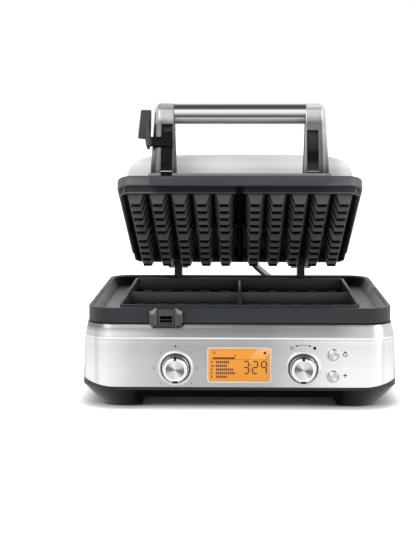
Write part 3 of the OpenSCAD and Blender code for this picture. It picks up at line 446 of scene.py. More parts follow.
def make_moat_coat():
    """The lower casting's coat: a painted sheen makes the trough pale; painted shade makes the wells, the
    catch's pocket and the far end of the trough black.
    """
    s = coated("moat_coat", (0.03, 0.034, 0.038), 0.45, depth=0.00012, edge=0.0014)
    x, y, z, up = s.axis(0), s.axis(1), s.axis(2), s.axis(2, s.facing)
    beyond = s.math("MAXIMUM", s.rise(s.apart(x), 0.1505, 0.151), s.rise(s.apart(y, PLATE_Y), 0.1505, 0.151))
    trough = s.product(beyond, s.fall(z, 0.1222, 0.1232), s.rise(up, 0.15, 0.4))
    # Painted sheen on the trough, paler still on its slopes.
    s.tint(trough, (0.19, 0.2, 0.21))
    s.tint(s.product(trough, s.fall(up, 0.85, 0.95)), (0.34, 0.355, 0.37))
    # Painted shadow of the lid over the far end of the trough.
    far = s.product(trough, s.rise(y, -0.05, 0.12))
    floor = s.product(s.fall(z, 0.1195, 0.1222), s.rise(up, 0.9, 0.97))
    well = s.product(s.math("SUBTRACT", 1.0, beyond), s.math("MAXIMUM", floor, s.fall(z, 0.102, 0.116)))
    front = s.product(s.rise(s.towards(AHEAD), 0.7, 0.95), s.fall(y, -0.2, -0.19))
    near = s.fall(s.apart(x, -CATCH_X / 1000), 0.0074, 0.0078)
    pocket = s.product(front, near, s.rise(y, -0.2056, -0.2052))
    # Painted shade, nearly black, in the wells, the catch's pocket and the far end of the trough.
    dark = s.math("MAXIMUM", s.math("MAXIMUM", well, pocket), far)
    s.tint(dark, DEEP_BLACK)
    gloss = s.product(s.ramp(dark, 0.5, 0.02, 0.0, 1.0), s.ramp(front, 1.0, 0.5, 0.0, 1.0))
    s.drive("Specular IOR Level", gloss)
    return s


def make_bridge_coat():
    """The handle bridge's coat: paler than the dark cast coat as painted light, with painted shade that makes
    it dark and dull on top.
    """
    # Paler than cast_dark: painted light for the lid, which gets less light.
    s = coated("cast_lid", (0.2, 0.215, 0.235), 0.42, depth=0.00012, edge=0.0006)
    # Painted shade on faces turned up.
    top = s.rise(s.axis(2, s.facing), 0.45, 0.6)
    s.tint(top, (0.02, 0.021, 0.023))
    s.drive("Specular IOR Level", s.ramp(top, 0.5, 0.05, 0.0, 1.0))
    return s


def make_catch_coat():
    """The catch's coat, with painted highlights on the bevels that face up or sideways."""
    s = coated("catch", (0.05, 0.054, 0.06), 0.42, edge=0.0004, depth=0.00006)
    up, aside = s.axis(2, s.facing), s.apart(s.axis(0, s.facing))
    # Painted highlights on bevels turned up, and fainter ones on bevels turned sideways.
    s.tint(s.product(s.rise(up, 0.2, 0.45), s.fall(up, 0.9, 0.97)), (0.24, 0.255, 0.27))
    s.tint(s.product(s.ramp(aside, 0.0, 0.6, 0.25, 0.4), s.fall(aside, 0.9, 0.97)), (0.13, 0.138, 0.146))
    return s


def make_lining_coat():
    """The slots' lining, black halfway up and greyer towards both ends."""
    s = coated("lining", grey(0.03), 0.6, edge=0, Specular_IOR_Level=0.12)
    s.gradient(s.axis(2), (
        (0.288, grey(0.06)), (0.297, grey(0.034)), (0.304, grey(0.003)), (0.313, grey(0.003)),
        (0.317, grey(0.024)), (0.327, grey(0.04)), (0.34, grey(0.06)),
    ))
    return s


def make_collar_metal():
    """Satin metal, with painted shade in the gap round the dial."""
    s = coated("collar", (0.93, 0.93, 0.94), 0.34, edge=0, depth=0.00001, metal=0.45)
    reach = s.radius(s.apart(s.apart(s.axis(0)), DIAL_X / 1000), s.apart(s.axis(2), DIAL_Z / 1000))
    # Painted shade in the gap round the dial.
    s.tint(s.fall(reach, 0.0174, 0.0184), (0.03, 0.03, 0.033))
    return s


def make_glass():
    """The lit display: painted shade along its top, with a painted slanting glare near the left end."""
    s = Shader("glass", (0.72, 0.28, 0.022), 0.06, edge=0)
    s.set("Emission Color", (1.0, 0.32, 0.015, 1.0))
    s.set("Emission Strength", 0.19)
    x, z = s.axis(0), s.axis(2)
    # Painted shade along the top of the glass.
    s.tint(s.ramp(z, 0.0, 0.55, 0.0716, 0.0742), (0.45, 0.14, 0.01))
    s.shade(s.ramp(s.noise(8.0), 0.0, 1.0), 0.06)
    # A painted glare: a slanting pale band near the left end.
    slant = s.math("ADD", x, s.product(z, -0.75))
    glare = s.product(s.rise(slant, -0.034, -0.0335), s.fall(slant, -0.016, -0.0155))
    s.tint(s.product(glare, s.ramp(z, 0.0, 0.3, 0.057, 0.074)), (1.0, 0.8, 0.5))
    return s


def make_materials():
    """All the materials by name."""
    shaders = [
        brushed("satin_metal", (0.92, 0.92, 0.93), 0.26, along=(300, 300, 300), depth=0.00001, edge=0),
        brushed("lip_metal", (0.55, 0.55, 0.56), 0.3, depth=0.00001, edge=0),
        coated("zinc", (0.6, 0.6, 0.62), 0.35, metal=1.0),
        coated("element", (0.2, 0.2, 0.21), 0.45, metal=1.0),
        coated("bezel", (0.9, 0.9, 0.91), 0.3, edge=0, depth=0.00001, metal=0.3),
        coated("cast_dark", (0.07, 0.078, 0.085), 0.42, depth=0.00012, edge=0.0014),
        # A paler copy of cast_dark for the lid's ring: painted light, as the lid gets less light.
        coated("cast_ring", (0.11, 0.118, 0.127), 0.42, depth=0.00012, edge=0.0014),
        coated("cast_black", (0.02, 0.022, 0.025), 0.38, depth=0.00008, edge=0.0007),
        coated("black_plastic", DEEP_BLACK, 0.3, edge=0.002, Specular_IOR_Level=0.06),
        coated("grey_plastic", (0.034, 0.038, 0.042), 0.42, Specular_IOR_Level=0.35),
        coated("latch_black", DEEP_BLACK, 0.4, Specular_IOR_Level=0.08),
        coated("pale_plastic", (0.7, 0.68, 0.62), 0.45),
        coated("rubber", grey(0.012), 0.7),
        coated("board", (0.02, 0.12, 0.05), 0.4),
        coated("screen", (0.95, 0.42, 0.03), 0.2),
        coated("ink", (0.004, 0.004, 0.005), 0.5, edge=0, Specular_IOR_Level=0.12),
        coated("lcd_dark", (0.11, 0.025, 0.003), 0.4, edge=0),
    ]
    shaders += [make() for make in (
        make_steel, make_cover_steel, make_tube_metal, make_conduit_metal, make_arm_metal, make_tray_plastic,
        make_latch_plastic, make_plate_coat, make_moat_coat, make_bridge_coat, make_catch_coat,
        make_lining_coat, make_collar_metal, make_glass,
    )]
    for name, x in (("dial_left", -DIAL_X), ("dial_right", DIAL_X)):
        shaders.append(spun(name, (0.92, 0.92, 0.93), 0.2, x, DIAL_Z, (0.2, 1.2), 0.82, 0.0112))
    for name, z in BUTTON_Z.items():
        shaders.append(spun(name, (0.92, 0.9, 0.88), 0.25, BUTTON_X, z, (-1.0, 0.6), 0.5, 0.0058))
    return {shader.name: shader.mat for shader in shaders}


M = make_materials()

# The record's material slots that have another name than the material they are shown in.
SLOT_MATERIALS = {
    "tube_chrome": "tube_metal", "spun_metal": "satin_metal", "element_steel": "element",
    "board_green": "board",
}
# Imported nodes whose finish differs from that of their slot.
NODE_MATERIALS = {
    "upper_plate": "plate_coat", "lower_plate": "moat_coat", "latch_slider": "latch_black",
    "slot_insert": "lining", "handle_bridge": "cast_lid", "base_tray": "tray",
}

for part in frame["record"]["subparts"]:
    slot = part["material_slot"]
    finish = NODE_MATERIALS.get(part["node"], SLOT_MATERIALS.get(slot, slot))
    mesh = NODES[part["node"]].data
    mesh.materials.clear()
    mesh.materials.append(M[finish])

# ---------------------------------------------------------------- tools for the pieces

MIDDLE_Y = -20.9  # the moat's middle in the model's frame, in millimetres like all the numbers that follow
PANEL_Y = -190.0  # the control panel's face
UPRIGHT = Matrix.Identity(4)


def piece(name, skin, material, body, place=UPRIGHT, sharp=35.0, replaces=(), ride=True):
    """A mesh from a skin of vertices and faces; place moves it once it is in metres."""
    verts, faces = skin
    data = bpy.data.meshes.new(name)
    scaled = [place @ Vector((x / 1000, (y + MIDDLE_Y) / 1000, z / 1000)) for x, y, z in verts]
    data.from_pydata(scaled, [], faces)
    work = bmesh.new()
    work.from_mesh(data)
    bmesh.ops.dissolve_degenerate(work, dist=1e-7, edges=work.edges)
    bmesh.ops.recalc_face_normals(work, faces=work.faces)
    work.to_mesh(data)
    work.free()
    data.polygons.foreach_set("use_smooth", [True] * len(data.polygons))
    data.set_sharp_from_angle(angle=math.radians(sharp))
    data.materials.append(M[material])
    obj = bpy.data.objects.new(name, data)
    bpy.context.scene.collection.objects.link(obj)
    if ride:
        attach(obj, body)
    if replaces:
        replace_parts(obj, *replaces)
    return obj


def loft(rings, caps=(False, False)):
    """Vertices and faces of a skin over closed rings of points that all have the same count."""
    count = len(rings[0])
    verts = [p for ring in rings for p in ring]
    faces = []
    for i in range(len(rings) - 1):
        for k in range(count):
            n = (k + 1) % count
            faces.append((i * count + k, i * count + n, (i + 1) * count + n, (i + 1) * count + k))
    if caps[0]:
        faces.append(tuple(range(count))[::-1])
    if caps[1]:
        base = (len(rings) - 1) * count
        faces.append(tuple(base + k for k in range(count)))
    return verts, faces


def joined(shells):
    """Several skins of vertices and faces as one."""
    verts, faces = [], []
    for more, extra in shells:
        faces += [tuple(len(verts) + k for k in face) for face in extra]
        verts += more
    return verts, faces


def lathe(profile, steps):
    """Rings of a turned form: profile holds (radius, height) pairs; the axis is +Z."""
    turns = [2 * math.pi * k / steps for k in range(steps)]
    return [[(r * math.cos(a), r * math.sin(a), h) for a in turns] for r, h in profile]


def on_panel(rings, x, z):
    """Turns rings drawn on +Z to stand out of the control panel at x, z."""
    return [[(x + p[0], PANEL_Y - p[2], z + p[1]) for p in ring] for ring in rings]


def quad(x0, z0, x1, z1):
    return [(x0, z0), (x1, z0), (x1, z1), (x0, z1)]


def mix(a, b, t):
    return tuple(u + (v - u) * t for u, v in zip(a, b))


def outline(w, d, r, corner, straight):
    """A rounded rectangle as points, anticlockwise from the right end of the front edge."""
    middles = [(cx * (w / 2 - r), cy * (d / 2 - r)) for cx, cy in ((1, -1), (1, 1), (-1, 1), (-1, -1))]
    points = []
    for side, (ox, oy) in enumerate(middles):
        start = 90 * (side - 1)
        for n in range(corner + 1):
            a = math.radians(start + 90 * n / corner)
            points.append((ox + r * math.cos(a), oy + r * math.sin(a)))
        ahead = middles[(side + 1) % 4]
        a = math.radians(start + 90)
        last, first = points[-1], (ahead[0] + r * math.cos(a), ahead[1] + r * math.sin(a))
        points += [mix(last, first, n / straight) for n in range(1, straight)]
    return points


# ---------------------------------------------------------------- steel body

# Heights of the steel's lower edge, its fold and the moat's band, with (width, depth, corner) at each.
PANEL_Z, FOLD_Z, BAND_Z = 27.0, 87.0, 105.5
SKIN_LOW, SKIN_FOLD, SKIN_TOP = (389, 380, 38), (384, 380, 37), (376, 370, 32)
RISE, RISE_START, RISE_REACH = 9, 150, 44.5  # of the lower edge, towards the two sides
RISE_FADE = 30  # height above the lower edge over which the rings level out


def side_rise(x):
    return RISE * max(0.0, (abs(x) - RISE_START) / RISE_REACH) ** 2


def skin_ring(z, inset=0.0):
    """One ring at a height; low rings follow the risen lower edge at the two sides."""
    if z <= FOLD_Z:
        t, a, b = (z - PANEL_Z) / (FOLD_Z - PANEL_Z), SKIN_LOW, SKIN_FOLD
    else:
        t, a, b = (z - FOLD_Z) / (BAND_Z - FOLD_Z), SKIN_FOLD, SKIN_TOP
    w, d, r = mix(a, b, t)
    ring = []
    for x, y in outline(w - 2 * inset, d - 2 * inset, r - inset, 16, 24):
        lift = side_rise(x) * max(0.0, 1 - (z - PANEL_Z) / RISE_FADE)
        ring.append((x, y, z + lift))
    return ring


def make_skin():
    """The steel body: a hem turned in below, a soft fold between panel and shoulder, a hem on top."""
    rings = [skin_ring(PANEL_Z + 0.2, 2.0), skin_ring(PANEL_Z, 1.4), skin_ring(PANEL_Z, 0.3)]
    rings += [skin_ring(z) for z in (27.15, 29, 33, 39, 46, 57, 70, 84.6)]
    before, fold, after = skin_ring(FOLD_Z - 1.8), skin_ring(FOLD_Z), skin_ring(FOLD_Z + 1.8)
    for t in (0.0, 0.2, 0.4, 0.6, 0.8, 1.0):
        rings.append([mix(mix(p, q, t), mix(q, r, t), t) for p, q, r in zip(before, fold, after)])
    rings += [skin_ring(z) for z in (91, 98, BAND_Z - 0.5)]
    rings += [skin_ring(BAND_Z - 0.2, 0.4), skin_ring(BAND_Z - 0.1, 2.0)]
    piece("steel_body", loft(rings), "steel", "base", sharp=50, replaces=["body_shell"])


# ---------------------------------------------------------------- lid

# Foot and top of the lid's ring, with its width, depth and corner radius; the cover stands on it.
RING_Z, RING_TOP = 132.3, 145.6
RING_W, RING_D, RING_R = 310, 308, 20
COVER_W, COVER_D = 294, 288
SHIFT = 8.4  # of the lid's middle behind that of the moat


def shifted(points, z):
    return [(x, y + SHIFT, z) for x, y in points]


def make_ring():
    """The lid's dark ring with rounded upper and lower edges: path holds (inset, height) pairs."""
    path = [
        (5.5, 2.6), (5.2, 0.3), (4.6, 0.0), (1.6, 0.0), (0.7, 0.25), (0.15, 0.9), (0.0, 1.8),
        (0.0, 11.0), (0.2, 12.1), (0.8, 13.0), (1.8, 13.3), (8.0, 13.3), (8.6, 12.7), (8.9, 10.2),
    ]
    rings = [
        shifted(outline(RING_W - 2 * inset, RING_D - 2 * inset, RING_R - min(inset, 6), 14, 6), RING_Z + h)
        for inset, h in path
    ]
    piece("ring", loft(rings), "cast_ring", "lid", LID, 32, ["lid_ring"])


def curve_through(levels, steps):
    """Points on a smooth curve through the levels (Catmull-Rom with ends held)."""
    out = []
    for i in range(len(levels) - 1):
        p0, p1 = levels[max(i - 1, 0)], levels[i]
        p2, p3 = levels[i + 1], levels[min(i + 2, len(levels) - 1)]
        for n in range(steps):
            t = n / steps
            out.append(tuple(
                b + 0.5 * t * (c - a + t * (2 * a - 5 * b + 4 * c - d + t * (3 * b - a - 3 * c + d)))
                for a, b, c, d in zip(p0, p1, p2, p3)
            ))
    return out + [tuple(levels[-1])]


def make_cover():
    """The domed steel cover: levels hold (less width, less depth, height, corner radius)."""
    levels = [
        (0, 0, 0, 26), (3, 4, 9, 26), (7, 9, 18, 26), (15, 18, 29, 27), (27, 31, 35.4, 28),
        (44, 44, 38.6, 30), (82, 52, 40.8, 32), (128, 62, 41.9, 34), (190, 152, 42.3, 26), (270, 262, 42.5, 10),
    ]
    stops = [(4, 4, 0.2, 24)] + curve_through(levels, 6)
    rings = [shifted(outline(COVER_W - a, COVER_D - b, r, 14, 12), RING_TOP + h) for a, b, h, r in stops]
    piece("cover_shell", loft(rings, (False, True)), "cover_steel", "lid", LID, 60, ["lid_cover"])


# ---------------------------------------------------------------- handle and latch

ARM_X, ARM_FOOT, ARM_TOP, ARM_FRONT, ARM_BACK = 93.5, 130.0, 227.0, -195.0, -167.0
ARM_HALF, ARM_TAPER = 16.5, 4.75  # half the width at the foot, and what it loses up to the top
OUTER_R, INNER_R = 10.0, 2.5  # corner radii of the arm's upper end
# The arm's rounded head: its middle, how far it rises above that, and its radius squared.
HEAD_Z, HEAD_Y, HEAD_RISE, HEAD_SQUARE = 213.0, -181.0, 13.93, 194.0
SLOT_IN, SLOT_OUT, SLOT_DEEP = 82.5, 96.5, 9.0
SLOT_TOP = {-1: 195.0, 1: 187.0}  # left and right


def rounding(z, radius):
    """How far an edge is drawn in at height z below a corner of this radius at the arm's top."""
    rise = z - (ARM_TOP - radius)
    return radius - math.sqrt(max(0.0, radius ** 2 - rise ** 2)) if rise > 0 else 0.0


def arm_outline(side, z, groove):
    """The arm's outline at a height: flat front with the groove, a well rounded outer side."""
    half = ARM_HALF - ARM_TAPER * (z - ARM_FOOT) / (ARM_TOP - ARM_FOOT)
    inner, outer = ARM_X - half + rounding(z, INNER_R), ARM_X + half - rounding(z, OUTER_R)
    front, back = ARM_FRONT, ARM_BACK
    if z > HEAD_Z:
        reach = math.sqrt(max(0.1, HEAD_SQUARE - (z - HEAD_Z) ** 2))
        front, back = HEAD_Y - reach, HEAD_Y + reach
    edge = min(99.0, outer - 3)
    slot_in, slot_out = max(SLOT_IN, inner + 1.6), min(SLOT_OUT, edge - 0.6)
    deep = min(11.0, (back - front) * 0.5)
    soft = min(1.8, (back - front) * 0.2)
    ring = [
        (inner, front + soft), (inner + 0.25, front + 0.3 * soft), (inner + 1.0, front), (slot_in, front),
        (slot_in, front + groove), (slot_out, front + groove), (slot_out, front), (edge, front),
    ]
    for n in range(1, 11):
        a = math.radians(9 * n)
        ring.append((edge + (outer - edge) * math.sin(a), front + deep * (1 - math.cos(a))))
    ring += [
        (outer, back - soft), (outer - 0.6 * soft, back - 0.1 * soft), (outer - 1.5 * soft, back),
        (inner + 1.5 * soft, back), (inner + 0.3 * soft, back - 0.3 * soft), (inner, back - soft),
    ]
    return [(side * x, y, z) for x, y in ring]


def make_arm(name, side, node):
    """One handle arm: the groove is open up to the slot's top and closed above it."""
    top = SLOT_TOP[side]
    low = [ARM_FOOT + (top - ARM_FOOT) * n / 8 for n in range(9)]
    high = [top + 0.05 + (HEAD_Z - top) * n / 3 for n in range(4)]
    turns = (6, 12, 18, 25, 32, 40, 48, 56, 64, 72, 79, 85)
    high += [HEAD_Z + HEAD_RISE * math.sin(math.radians(a)) for a in turns]
    rings = [arm_outline(side, z, SLOT_DEEP) for z in low] + [arm_outline(side, z, 0.02) for z in high]
    piece(name, loft(rings, (True, True)), "arm_metal", "lid", LID, 40, [node])


def make_lining(name, side):
    """Thin dark lining of the groove: two sides, the back and the upper end."""
    t, top = 0.15, SLOT_TOP[side] - 0.1
    a, b, f, g = SLOT_IN, SLOT_OUT, ARM_FRONT + 0.3, ARM_FRONT + SLOT_DEEP
    wall = [(a, f), (a, g), (b, g), (b, f), (b - t, f), (b - t, g - t), (a + t, g - t), (a + t, f)]
    end = [(a + t, f), (b - t, f), (b - t, g - t), (a + t, g - t)]
    skin = joined(
        loft([[(side * x, y, z) for x, y in shape] for z in heights], (True, True))
        for shape, heights in ((wall, (ARM_FOOT + 0.1, top)), (end, (top - 0.2, top)))
    )
    piece(name, skin, "lining", "lid", LID, 30)


def make_lips():
    """The two bright lips across the grooves' lower ends."""
    shells = []
    for side in (-1, 1):
        rings = []
        for y, trim in ((-194.9, 0.0), (-195.7, 0.0), (-196.0, 0.25)):
            corners = quad(81.9 + trim, 132.1 + trim, 97.1 - trim, 133.2 - trim)
            rings.append([(side * x, y, z) for x, z in corners])
        shells.append(loft(rings, (True, True)))
    piece("lips", joined(shells), "lip_metal", "lid", LID, 40, ["slot_lips"])


def make_wrap():
    """Front plate of the latch, with rounded left corners, and the hook that joins it to the thumb tab."""
    shape = [(-88.2, 164.6), (-88.2, 177.2)]
    for cx, cz, r, start in ((-112.4, 174.2, 3.0, 0), (-111.2, 168.6, 4.0, 90)):
        for n in range(9):
            a = math.radians(start + 90 * n / 8)
            shape.append((cx - r * math.sin(a), cz + r * math.cos(a)))
    half_w, half_h, middle = 14.0, 6.4, (-101.0, 171.0)
    rings = []
    for inset, y in ((0.6, -195.2), (0.0, -195.6), (0.0, -197.4), (0.5, -198.0), (1.2, -198.1)):
        scale_x, scale_z = 1 - inset / half_w, 1 - inset / half_h
        rings.append([
            (middle[0] + (x - middle[0]) * scale_x, y, middle[1] + (z - middle[1]) * scale_z) for x, z in shape
        ])
    hook = [
        (-115.3, 175.0), (-115.3, 192.4), (-114.4, 195.6), (-112.6, 197.8), (-110.2, 198.8), (-109.4, 198.8),
        (-109.4, 175.0),
    ]
    hook_x, hook_z = -112.4, 186.0
    hook_rings = [[(x, y, z) for x, z in hook] for y in (-190.0, -197.2)]
    hook_rings.append([(hook_x + (x - hook_x) * 0.8, -197.8, hook_z + (z - hook_z) * 0.94) for x, z in hook])
    skin = joined([loft(rings, (True, True)), loft(hook_rings, (True, True))])
    piece("latch_wrap", skin, "latch_grey", "latch", LID, 40)


def block(x0, x1, y0, y1, z0, z1):
    return loft([[(x, y, z) for x, z in quad(x0, z0, x1, z1)] for y in (y0, y1)], (True, True))


def make_catch():
    """The catch on the moat's front: a panel with a barred window between two bevelled cheeks."""
    back, face = -185.0, -188.6
    shells = [
        block(-17.0, 17.0, back, face, 114.6, 122.8), block(-17.0, 17.0, back, face, 104.0, 106.0),
        block(-17.0, -7.6, back, face, 105.9, 114.7), block(7.6, 17.0, back, face, 105.9, 114.7),
        block(-7.6, 7.6, -184.9, -185.9, 109.3, 110.1), block(-10.5, 10.5, -188.4, -192.0, 102.4, 103.8),
        block(-9.6, -8.2, -188.4, -190.6, 104.0, 114.4), block(8.2, 9.6, -188.4, -190.6, 104.0, 114.4),
    ]
    cheek = [(11.0, 125.0), (20.3, 120.4), (20.3, 107.2), (16.6, 102.2), (11.0, 102.2)]
    front = [(14.4, 118.4), (18.2, 117.0), (18.2, 108.2), (16.0, 104.8), (14.2, 104.8)]
    for side in (-1, 1):
        rings = [[(side * x, y, z) for x, z in cheek] for y in (-188.4, -192.4)]
        rings.append([(side * x, -196.0, z) for x, z in front])
        shells.append(loft(rings, (True, True)))
    verts, faces = joined(shells)
    verts = [(x - CATCH_X, y, z) for x, y, z in verts]
    piece("catch", (verts, faces), "catch", "base", sharp=12, replaces=["latch_catch"])


# ---------------------------------------------------------------- controls


def make_dial(name, x, node, body):
    """A turned dial: skirt, barrel, bright chamfered rim, dished face."""
    profile = [
        (15.9, 1.95), (16.4, 2.3), (16.5, 2.9), (16.5, 4.0), (16.2, 4.6), (15.6, 5.1), (15.2, 14.6),
        (14.9, 15.7), (14.2, 16.5), (13.3, 16.8), (12.4, 16.8), (11.6, 16.55), (11.1, 16.25), (10.4, 16.2),
        (6.0, 16.3),
    ]
    skin = loft(on_panel(lathe(profile, 96), x, DIAL_Z), (True, True))
    piece(name, skin, "dial_left" if x < 0 else "dial_right", body, sharp=38, replaces=[node])


def make_notch(name, x, body, angle, w, base):
    """A dark inlay across the dial's rim at an angle from the top, from radius base outwards; at the top it is
    the pointer, at the foot it is painted shade.
    """
    a = math.radians(angle)
    tip, sunk, proud = 15.9, 14.4, 16.98
    shape = [
        (-w / 2, tip), (w / 2, tip), (w / 2, base), (w / 2 - 0.5, base - 0.5), (-w / 2 + 0.5, base - 0.5),
        (-w / 2, base),
    ]
    right, up = math.cos(a), math.sin(a)
    ring = [(x + u * right + v * up, DIAL_Z + v * right - u * up) for u, v in shape]
    rings = [[(p, PANEL_Y - h, q) for p, q in ring] for h in (sunk, proud)]
    return piece(name, loft(rings, (True, True)), "ink", body, sharp=30)


def make_collar(name, x):
    """The fixed collar round a dial."""
    profile = [
        (17.6, 2.2), (17.5, 1.9), (17.9, 2.1), (18.6, 2.35), (19.4, 2.6), (20.1, 2.5), (20.9, 1.9), (21.7, 1.0),
        (22.0, 0.45), (22.0, 0.0), (15.0, 0.0), (15.0, 1.2), (17.3, 1.4),
    ]
    skin = loft(on_panel(lathe(profile + profile[:1], 96), x, DIAL_Z))
    return piece(name, skin, "collar", "base", sharp=50)


def make_button(name, node, body):
    """A turned push button with a dished face."""
    profile = [(6.0, 1.6), (6.3, 1.9), (6.35, 3.1), (6.1, 3.55), (5.6, 3.75), (3.0, 3.45), (1.0, 3.35)]
    skin = loft(on_panel(lathe(profile, 64), BUTTON_X, BUTTON_Z[name]), (True, True))
    piece(name, skin, name, body, sharp=60, replaces=[node])


def make_button_ring(name, z):
    """The fixed ring round a button."""
    profile = [(6.7, 0.0), (6.7, 1.3), (7.0, 1.7), (7.5, 1.8), (8.1, 1.3), (8.4, 0.6), (8.45, 0.0)]
    return piece(name, loft(on_panel(lathe(profile, 64), BUTTON_X, z)), "bezel", "base", sharp=60)


# ---------------------------------------------------------------- display and printed marks


def flat(name, polygons, material, y, thick):
    """Drawings: polygons in X and Z, raised by thick off the surface at y behind them."""
    shells = [
        loft([[(x, y - h, z) for x, z in points] for h in (0, thick)], (True, True)) for points in polygons
    ]
    piece(name, joined(shells), material, "base", sharp=30)


# Bars of a seven-segment digit: a on top, then clockwise, with g in the middle.
SEGMENTS = {
    "1": "bc", "2": "abged", "3": "abgcd", "4": "fgbc", "5": "afgcd", "6": "afgedc", "7": "abc", "9": "abcfg",
}


def digit(char, x, z, w, h, t):
    """A seven-segment digit as polygons with bars of thickness t; x, z is its lower left corner."""
    m, g = h / 2, t * 0.18
    shapes = {
        "a": [(t * 0.4 + g, h), (w - t * 0.4 - g, h), (w - t - g, h - t), (t + g, h - t)],
        "d": [(t * 0.4 + g, 0), (w - t * 0.4 - g, 0), (w - t - g, t), (t + g, t)],
        "g": [
            (t * 0.5 + g, m), (t + g, m + t / 2), (w - t - g, m + t / 2), (w - t * 0.5 - g, m),
            (w - t - g, m - t / 2), (t + g, m - t / 2),
        ],
        "f": [(0, h - t * 0.4 - g), (t, h - t - g), (t, m + t / 2 + g), (t * 0.3, m + g), (0, m + g)],
        "e": [(0, t * 0.4 + g), (t, t + g), (t, m - t / 2 - g), (t * 0.3, m - g), (0, m - g)],
    }
    shapes["b"] = [(w - u, v) for u, v in shapes["f"]]
    shapes["c"] = [(w - u, v) for u, v in shapes["e"]]
    return [[(x + u, z + v) for u, v in shapes[bar]] for bar in SEGMENTS[char]]


GLASS_Y, DISPLAY_Z = -191.2, 54.6
DISPLAY_W, DISPLAY_H, GLASS_W, GLASS_H = 79, 44, 75.6, 40.6


def frame_ring(w, h, r, out):
    """A rounded rectangle round the display's middle that stands out of the panel."""
    return [(x, PANEL_Y - out, DISPLAY_Z + z) for x, z in outline(w, h, r, 8, 2)]


def make_display():
    """A bright bezel, the lit glass and, on it, plain bars and a timer's digits."""
    path = (
        (3.4, -0.3), (2.0, 0.35), (1.7, 0.95), (1.2, 1.35), (0.6, 1.4), (0.2, 1.1), (0.0, 0.5), (0.0, 0.0),
        (3.4, -0.3),
    )
    rings = [frame_ring(DISPLAY_W - 2 * i, DISPLAY_H - 2 * i, 4.5 - min(i, 2.2), h) for i, h in path]
    piece("bezel", loft(rings), "bezel", "base", sharp=40, replaces=["display_frame"])
    rings = [frame_ring(GLASS_W - 2 * i, GLASS_H - 2 * i, 2.8, h) for i, h in ((0, 0.1), (0, 1.05), (0.3, 1.2))]
    piece("glass", loft(rings, (True, True)), "glass", "base", sharp=30, replaces=["display_window"])

    dark = []
    for char, x in (("3", 4.6), ("2", 15.6), ("9", 26.4)):
        dark += digit(char, x, 43.6, 7.4, 16.4, 1.6)
    dark += [quad(13.1, 54.0, 14.3, 55.4), quad(13.1, 48.2, 14.3, 49.6)]
    dark += [quad(-32.6, 62.2, -5.4, 64.4), [(-6.3, 67.4), (-3.7, 67.4), (-5.0, 65.2)]]
    dark += arc_band(-30.6, 69.8, 1.5, 0.6, 0, 360, 20) + [arc(31.2, 69.8, 1.8, 0, 360, 20)[:-1]]
    start = -28.6
    for z, length in ((56.4, 15.0), (51.9, 13.4), (47.4, 20.0), (42.9, 22.2), (38.4, 14.2)):
        dark.append(quad(-34.2, z + 0.6, -32.8, z + 3.2))
        x = start
        while x < start + length:
            dark.append(quad(x, z + 0.4, x + 1.7, z + 3.4))
            x += 2.4
    dark.append([(-31.6, 52.2), (-29.8, 53.6), (-31.6, 55.0)])
    flat("display_marks", dark, "lcd_dark", GLASS_Y, 0.06)
    lines = [quad(-32.6, 61.2, 33.6, 61.6), quad(33.2, 61.6, 33.6, 66.4)]
    flat("display_lines", lines, "lcd_dark", GLASS_Y, 0.04)


def polar(cx, cz, r, angle):
    """The point at a radius and an angle from the top, clockwise."""
    return cx + r * math.sin(math.radians(angle)), cz + r * math.cos(math.radians(angle))


def arc(cx, cz, r, a0, a1, steps):
    return [polar(cx, cz, r, a0 + (a1 - a0) * k / steps) for k in range(steps + 1)]


def arc_band(cx, cz, r, w, a0, a1, steps=16):
    """A curved bar of width w as quads."""
    outer, inner = arc(cx, cz, r + w / 2, a0, a1, steps), arc(cx, cz, r - w / 2, a0, a1, steps)
    return [[outer[k], outer[k + 1], inner[k + 1], inner[k]] for k in range(steps)]


def make_marks():
    """Printed marks: plain numbers round the left dial, an arrow arc over the right one, two signs."""
    shapes = []
    for n in range(1, 8):
        x, z = polar(-DIAL_X, DIAL_Z, 26.5, 45 * n)
        shapes += digit(str(n), x - 0.8, z - 1.5, 1.6, 3.0, 0.5)
    x, z = polar(-DIAL_X, DIAL_Z, 26.5, 0)
    shapes.append([(x - 1.6, z + 1.4), (x + 1.6, z + 1.4), (x, z - 1.3)])
    middle, r = (DIAL_X, DIAL_Z + 0.8), 28.0
    shapes += arc_band(*middle, r, 0.6, -17, 17)
    arrow = ((1.3, 15), (0.0, 21), (-1.3, 15))
    for side in (-1, 1):
        shapes.append([polar(*middle, r + more, side * angle) for more, angle in arrow])
    shapes += arc_band(*polar(*middle, r, -30), 1.7, 0.7, 0, 360, 20)
    shapes.append(arc(*polar(*middle, r, 30), 2.0, 0, 360, 20)[:-1])
    shapes += arc_band(129.2, 68.0, 2.3, 0.9, 40, 330, 18) + [[(127.9, 72.2), (131.4, 70.8), (128.4, 68.8)]]
    shapes += [
        quad(126.8, 41.5, 131.8, 42.6), quad(128.75, 39.6, 129.85, 41.5), quad(128.75, 42.6, 129.85, 44.5),
    ]
    flat("panel_print", shapes, "ink", PANEL_Y, 0.08)


# ---------------------------------------------------------------- conduit


def lid_place(x, y, z):
    """A point of the shut lid, in millimetres in the moat's frame, where it is with the lid open."""
    p = LID @ Vector((x / 1000, (y + MIDDLE_Y) / 1000, z / 1000))
    return p.x * 1000, p.y * 1000 - MIDDLE_Y, p.z * 1000


